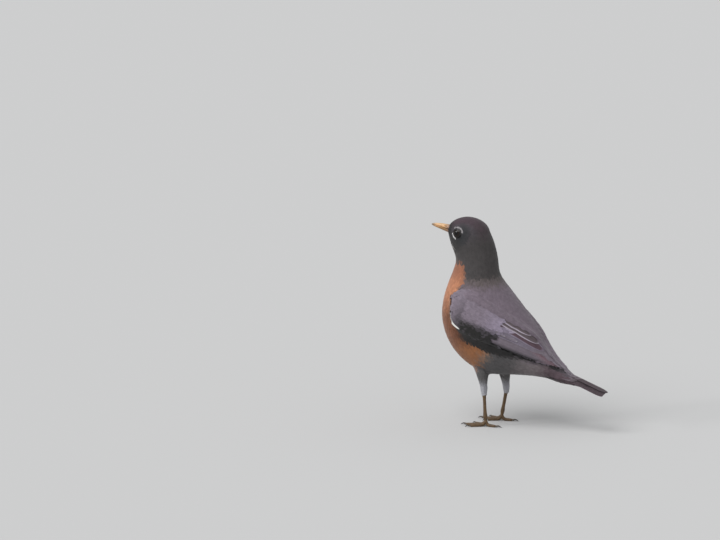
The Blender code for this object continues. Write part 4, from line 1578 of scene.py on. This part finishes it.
def eye_material():
    """A wet black-brown eye: a black pupil, a dark iris with fine spokes, and a dark rim."""
    material, kit, shader = new_material("eye", 0.12, Coat_Weight=1.0, Coat_Roughness=0.02, Coat_IOR=1.34,
                                         Specular_IOR_Level=0.0)
    reach, turn, _ = kit.apart(kit.attribute("gaze", "Vector"))
    spokes = kit.texture("Noise", Scale=1.0, Detail=2.0, Vector=kit.together(turn * 9.0, reach, 0.0))
    iris = kit.colours(ink("iris", 0.6), ink("iris", 1.7), spokes)
    colour = kit.colours(ink("pupil"), iris, kit.ramp(reach, 1.85, 2.05))
    kit.fill(shader, {"Base Color": kit.colours(colour, ink("pupil"), kit.ramp(reach, 3.1, 3.7))})
    return material


def lid_material():
    """Bare dark lid skin with fine beads."""
    material, kit, shader = new_material("lid_skin", 0.5, Specular_IOR_Level=0.4)
    beads = kit.texture("Voronoi", Scale=2600.0)
    colour = kit.colours(ink("lid", 1.5), ink("lid", 0.5), kit.ramp(beads, 0.1, 0.7))
    kit.fill(shader, {"Base Color": colour, "Normal": kit.bump(0.5, 0.00015, beads, True)})
    return material


def make_eye(side, wet, bare):
    """One eyeball, and the lids round it, which come down over its edge and sink under the feathers."""
    socket = SOCKETS[side]
    profile = []
    for k in range(31):
        arc = math.pi * k / 30
        bulge = BALL_FRONT if arc < math.pi / 2 else BALL_BACK
        profile.append((BALL_REACH * math.sin(arc), BALL_MIDDLE + bulge * math.cos(arc)))
    eyeball = ring_mesh(f"eyeball_{side}", socket, [profile] * 48, False)
    reach, turn, _ = socket.polar(points_of(eyeball.data))
    hold(eyeball.data, "gaze", np.column_stack([reach / MM, np.radians(turn), reach * 0]))
    keep(eyeball, wet, "eye", f"eye_{side}")
    surface = BVHTree.FromPolygons(SKIN.places.tolist(), SKIN.triangles.tolist())
    rings = []
    for k in range(96):
        turn = 360 * k / 96
        lobe = math.radians(turn)
        inner = 3.72 + 0.13 * math.cos(2 * lobe) + 0.16 * max(0.0, math.cos(lobe)) ** 8
        hit = surface.ray_cast(Vector(socket.spot(5.6 * MM, turn, 12 * MM)), Vector(-socket.axis))[0]
        seat = (np.array(hit) - socket.centre) @ socket.axis / MM if hit else 1.5
        edge = ball_height(inner)
        fold = 0.05 * math.sin(23 * lobe) + 0.03 * math.sin(41 * lobe)
        slope = [(inner + (5.35 - inner) * part, edge + (seat + 0.1 - edge) * part + rise)
                 for part, rise in ((0.22, 0.16 + fold * 0.4), (0.30, 0.02 - fold * 0.4),
                                    (0.42, 0.12 + fold), (0.56, 0.04 - fold), (0.70, 0.10 + fold),
                                    (1.0, 0.0))]
        rings.append([(inner + 0.25, edge - 0.55), (inner - 0.02, edge - 0.04), (inner + 0.10, edge + 0.16),
                      *slope, (5.7, seat - 0.25), (5.6, seat - 0.7), (4.9, seat - 0.8)])
    keep(ring_mesh(f"lids_{side}", socket, rings, True), bare, "leg_scales")


def bill_material():
    """Satin horn: orange sides with a painted highlight along the top and painted shade underneath, a
    greyish base and a dusky tip, with fine streaks along it.
    """
    material, kit, shader = new_material("bill_horn", 0.36, Specular_IOR_Level=0.5, Coat_Weight=0.15,
                                         Coat_Roughness=0.25)
    along, high, hole = kit.apart(kit.attribute("bill", "Vector"))
    # painted highlight: the top of the bill is painted paler, as lit from above
    colour = kit.colours(ink("bill_side"), ink("bill_top_highlight"), kit.ramp(high, 0.30, 0.85))
    # painted shade: the underside of the bill is painted darker, as shaded from above
    colour = kit.colours(ink("bill_under_shade"), colour, kit.ramp(high, -0.35, 0.20))
    colour = kit.colours(ink("bill_base"), colour, kit.ramp(along, 0.02, 0.34))
    colour = kit.colours(colour, ink("bill_tip"), kit.ramp(along, 0.72, 0.98))
    stretched = kit.made("ShaderNodeMapping", Scale=(2600.0, 260.0, 2600.0),
                         Vector=kit.made("ShaderNodeTexCoord", out="Object"))
    streaks = kit.texture("Noise", Scale=1.0, Detail=4.0, Vector=stretched)
    colour = kit.lit(colour, kit.ramp(streaks, 0.25, 0.75, 0.86, 1.06))
    kit.fill(shader, {"Base Color": kit.colours(colour, ink("nostril"), hole),
                      "Normal": kit.bump(0.25, 0.0001, streaks)})
    return material


# Nostril: its place as a share of the bill's length, and its half length and half height
NOSTRIL_SHARE = 0.235
NOSTRIL_LONG = 1.45 * MM
NOSTRIL_HIGH = 0.40 * MM


def make_bill():
    """Both halves of the bill, with a slit nostril on each side of the upper one."""
    horn = bill_material()
    upper = points_of(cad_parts["bill_upper"].data)
    root = upper[upper[:, 1] > upper[:, 1].max() - 1 * MM].mean(0)
    tip = upper[upper[:, 1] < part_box("bill_upper")[0].y + 0.2 * MM].mean(0)
    length = np.linalg.norm(tip - root)
    axis = (tip - root) / length
    left = unit(np.cross(axis, (0.0, 0.0, 1.0)))
    rise = np.cross(left, axis)
    for part in ("upper", "lower"):
        bm = welded(f"bill_{part}", 0.05 * MM)
        bmesh.ops.subdivide_edges(bm, edges=bm.edges[:], cuts=1, use_grid_fill=True)
        piece = rounded(joined(f"bill_horn_{part}", [bm]))
        places = points_of(piece.data)
        away = places - root
        along = away @ axis / length
        high = away @ rise / (3.4 * MM) + 0.35 + 0.12 * along
        hole = np.zeros(len(places))
        if part == "upper":
            far = (along - NOSTRIL_SHARE) * length / NOSTRIL_LONG
            up = (away @ rise + 0.05 * MM) / NOSTRIL_HIGH
            hole = np.exp(-(far ** 2 + up ** 2) ** 1.5)
            brow = np.exp(-(far ** 2 / 1.8 + (up - 1.9) ** 2))
            swell = (0.14 * brow - 0.42 * hole) * MM
            set_points(piece.data, places + normals_of(piece.data) * swell[:, None])
        hold(piece.data, "bill", np.column_stack([along, high, ramp(0.35, 0.8, hole)]))
        keep(piece, horn, "bill_horn", f"bill_{part}")


def bristle_material():
    """Stiff black bristles, a little glossy towards their tips."""
    material, kit, shader = new_material("bristles", 0.45)
    grain = kit.texture("Noise", Scale=900.0)
    kit.fill(shader, {"Base Color": kit.colours(ink("lores", 0.5), ink("lores", 1.4), grain)})
    return material


def make_bristles():
    """The short bristles at the corners of the mouth: each is a bent cone with three sides."""
    places, faces = [], []
    for socket in SOCKETS.values():
        out = socket.axis
        for k in range(7):
            start = BILL_ROOT + out * 4.2 * MM + np.array((0, 0, (k - 2.5) * 0.55 * MM))
            start = start - socket.ahead * (k % 3) * 0.8 * MM
            start = SKIN.places[SKIN_POINTS.find(start)[1]] + out * 0.1 * MM
            heading = unit(socket.ahead + out * (0.30 + 0.05 * (k % 2)) + np.array((0, 0, -0.12 + 0.05 * k)))
            across = unit(np.cross(heading, (0.0, 0.0, 1.0)))
            upward = np.cross(across, heading)
            length = (3.4 + 0.25 * ((k * 3) % 5)) * MM
            bend = (out * 0.10 - upward * 0.12) * length
            first = len(places)
            for step in range(5):
                part = step / 5
                middle = start + heading * length * part + bend * part ** 2
                for turn in (0.0, 2.1, 4.2):
                    ray = across * math.cos(turn) + upward * math.sin(turn)
                    places.append(middle + ray * 0.10 * MM * (1 - part))
            places.append(start + heading * length + bend)
            faces.append((first, first + 2, first + 1))
            pairs = [(row + j, row + (j + 1) % 3) for row in range(first, first + 15, 3) for j in range(3)]
            faces += [(a, b, b + 3, a + 3) for a, b in pairs[:12]]
            faces += [(a, b, first + 15) for a, b in pairs[12:]]
    keep(mesh_object("mouth_bristles", places, faces), bristle_material(), "claw_horn")


def leg_material():
    """Dull brown horny skin with scutes, dark in the grooves between them."""
    material, kit, shader = new_material("leg_scales", 0.5, Specular_IOR_Level=0.4)
    scales = kit.texture("Voronoi", {"feature": "DISTANCE_TO_EDGE"}, Scale=1500.0)
    blotch = kit.texture("Noise", Scale=380.0, Detail=4.0)
    colour = kit.colours(ink("leg", 0.72), ink("leg", 1.25), kit.ramp(blotch, 0.3, 0.7))
    dark = kit.maths("MAXIMUM", kit.ramp(scales, 0.0, 0.10, 0.5, 0.0), kit.attribute("groove"))
    kit.fill(shader, {"Base Color": kit.colours(colour, ink("leg_dark"), dark),
                      "Normal": kit.bump(0.4, 0.00012, kit.ramp(scales, 0.0, 0.12))})
    return material


def claw_material():
    """Dark horn, paler at its root, with a faint streak."""
    material, kit, shader = new_material("claw_horn", 0.3, Specular_IOR_Level=0.5)
    streaks = kit.ramp(kit.texture("Noise", Scale=900.0, Detail=3.0), 0.3, 0.7, 0.5, 1.0)
    colour = kit.colours(ink("claw"), ink("claw_pale"), kit.attribute("root") * streaks)
    kit.fill(shader, {"Base Color": colour})
    return material


# How long the scutes and pads of a toe and the scutes of a shank are, and where a foot's toes begin and end
SCUTE = 1.5 * MM
PAD = 4.4 * MM
SHANK_SCUTE = 2.3 * MM
TOE_START = 2.4 * MM
TOE_BREADTH = 2.6 * MM
TOE_NAMES = ("inner", "middle", "outer", "hind")


def claw_root(side, toe, foot):
    """The middle of the end of a claw that meets its toe."""
    places = points_of(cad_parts[f"claw_{side}_{toe}"].data)
    gaps = np.linalg.norm(places - foot, axis=1)
    return places[gaps < gaps.min() + 0.4 * MM].mean(0)


def make_leg(side, scaly):
    """A bare leg with its foot in one piece. Gives the middle of the foot."""
    shank = points_of(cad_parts[f"shank_{side}"].data)
    foot = shank[shank[:, 2] < shank[:, 2].min() + 0.6 * MM].mean(0)
    nodes = (f"shank_{side}", f"foot_{side}")
    leg = remeshed(joined(f"leg_{side}", [welded(node, 0.2 * MM) for node in nodes]), 0.34 * MM)
    mesh = leg.data
    set_points(mesh, spread(mesh, points_of(mesh), 3))
    places, normals = points_of(mesh), unit(spread(mesh, normals_of(mesh), 1))
    near = np.full(len(places), 1.0)
    groove, swell = np.zeros(len(places)), np.zeros(len(places))
    for toe in TOE_NAMES:
        heading = unit((claw_root(side, toe, foot) - foot) * (1, 1, 0))
        away = places - foot
        far = away @ heading
        off = np.linalg.norm((away - heading * far[:, None])[:, :2], axis=1)
        here = (far > TOE_START) & (off < TOE_BREADTH) & (off < near)
        near = np.where(here, off, near)
        ridge = np.exp(-((far / SCUTE + 0.5) % 1 - 0.5) ** 2 / 0.012)
        pads = np.cos(2 * math.pi * far / PAD)
        top = ramp(-0.25, 0.25, normals[:, 2])
        groove = np.where(here, ridge * top, groove)
        swell = np.where(here, -0.13 * ridge * top + 0.12 * pads * (1 - top), swell)
    high = places[:, 2]
    ahead = ramp(0.0, 0.5, -normals[:, 1]) * (near == 1.0)
    ridge = np.exp(-((high / SHANK_SCUTE) % 1 - 0.5) ** 2 / 0.006) * ahead * fade(15 * MM, 22 * MM, high)
    ridge = ridge * ramp(5 * MM, 7 * MM, high)
    groove = np.maximum(groove, ridge * 0.7)
    swell = swell - 0.09 * ridge + 0.10 * ramp(0.75, 1.0, -normals[:, 1]) * (high > 6 * MM)
    places = places + normals * (swell * MM)[:, None]
    places[:, 2] = np.maximum(places[:, 2], 0.0)
    set_points(mesh, places)
    hold(mesh, "groove", groove * 0.8)
    keep(leg, scaly, "leg_scales", *nodes)
    return foot


def make_claws(side, foot, horn):
    """The four claws of a foot in one piece, each drawn back a little into its toe."""
    nodes = [f"claw_{side}_{toe}" for toe in TOE_NAMES]
    roots = [claw_root(side, toe, foot) for toe in TOE_NAMES]
    parts = []
    for node, root in zip(nodes, roots):
        bm = welded(node, 0.06 * MM)
        root = Vector(root)
        back = (Vector(foot) - root) * Vector((1, 1, 0))
        for vert in bm.verts:
            if (vert.co - root).length < 1.2 * MM:
                vert.co += back.normalized() * 1.1 * MM
        parts.append(bm)
    claws = rounded(joined(f"claws_{side}", parts))
    places = points_of(claws.data)
    gap = np.min([np.linalg.norm(places - root, axis=1) for root in roots], axis=0)
    hold(claws.data, "root", fade(0.5 * MM, 4 * MM, gap))
    keep(claws, horn, "claw_horn", *nodes)


def make_bare_parts():
    """Eyes, lids, bill, bristles, legs and claws."""
    wet, bare, scaly, horn = eye_material(), lid_material(), leg_material(), claw_material()
    for side in SIDES:
        make_eye(side, wet, bare)
        make_claws(side, make_leg(side, scaly), horn)
    make_bill()
    make_bristles()


make_bare_parts()


# Lights: the surround's strength, where the key lamp and the low lamp shine from, and the low one's strength
SURROUND = 0.62
KEY_FROM = (0.65, -0.35, 1.0)
LOW_FROM = (0.56, -0.74, 0.37)
LOW_STRENGTH = 0.5


def add_camera():
    """The camera, far off with a long lens, aimed beside the bird."""
    side, rise = math.sin(CAMERA_TURN), math.sin(CAMERA_RISE)
    right = Vector((math.cos(CAMERA_TURN), side, 0))
    back = Vector((side * math.cos(CAMERA_RISE), -math.cos(CAMERA_TURN) * math.cos(CAMERA_RISE), rise))
    up = back.cross(right)
    aim = (CAD_BOX[0] + CAD_BOX[1]) / 2 + right * AIM_RIGHT + up * AIM_UP
    data = bpy.data.cameras.new("camera")
    data.lens = CAMERA_LENS
    data.clip_end = 100
    camera = bpy.data.objects.new("camera", data)
    camera.location = aim + back * CAMERA_DISTANCE
    camera.rotation_euler = back.to_track_quat("Z", "Y").to_euler()
    bpy.context.scene.collection.objects.link(camera)
    bpy.context.scene.camera = camera


def add_lamp(name, toward, strength, softness):
    """A broad soft light from far away, so that the floor is lit evenly."""
    data = bpy.data.lights.new(name, "SUN")
    data.energy = strength
    data.angle = math.radians(softness)
    lamp = bpy.data.objects.new(name, data)
    lamp.rotation_euler = Vector(toward).to_track_quat("Z", "Y").to_euler()
    bpy.context.scene.collection.objects.link(lamp)


def add_stage():
    """A plain pale floor, an even pale surround and soft lamps."""
    half = 30.0
    floor = mesh_object("floor", [(-half, -half, 0), (half, -half, 0), (half, half, 0), (-half, half, 0)],
                        [(0, 1, 2, 3)])
    material, _, shader = new_material("pale_floor", 1.0, Specular_IOR_Level=0.0)
    shader.inputs["Base Color"].default_value = (0.5, 0.5, 0.5, 1)
    floor.data.materials.append(material)
    world = bpy.data.worlds.new("surround")
    world.use_nodes = True
    world.node_tree.nodes["Background"].inputs["Color"].default_value = (0.98, 0.99, 1.0, 1)
    world.node_tree.nodes["Background"].inputs["Strength"].default_value = SURROUND
    bpy.context.scene.world = world
    toward, low = Vector(KEY_FROM).normalized(), Vector(LOW_FROM).normalized()
    add_lamp("key_lamp", toward, (math.pi * SURROUND - LOW_STRENGTH * low.z) / toward.z, 50)
    add_lamp("low_lamp", low, LOW_STRENGTH, 9)
    bpy.context.scene.view_settings.view_transform = "Standard"


add_camera()
add_stage()
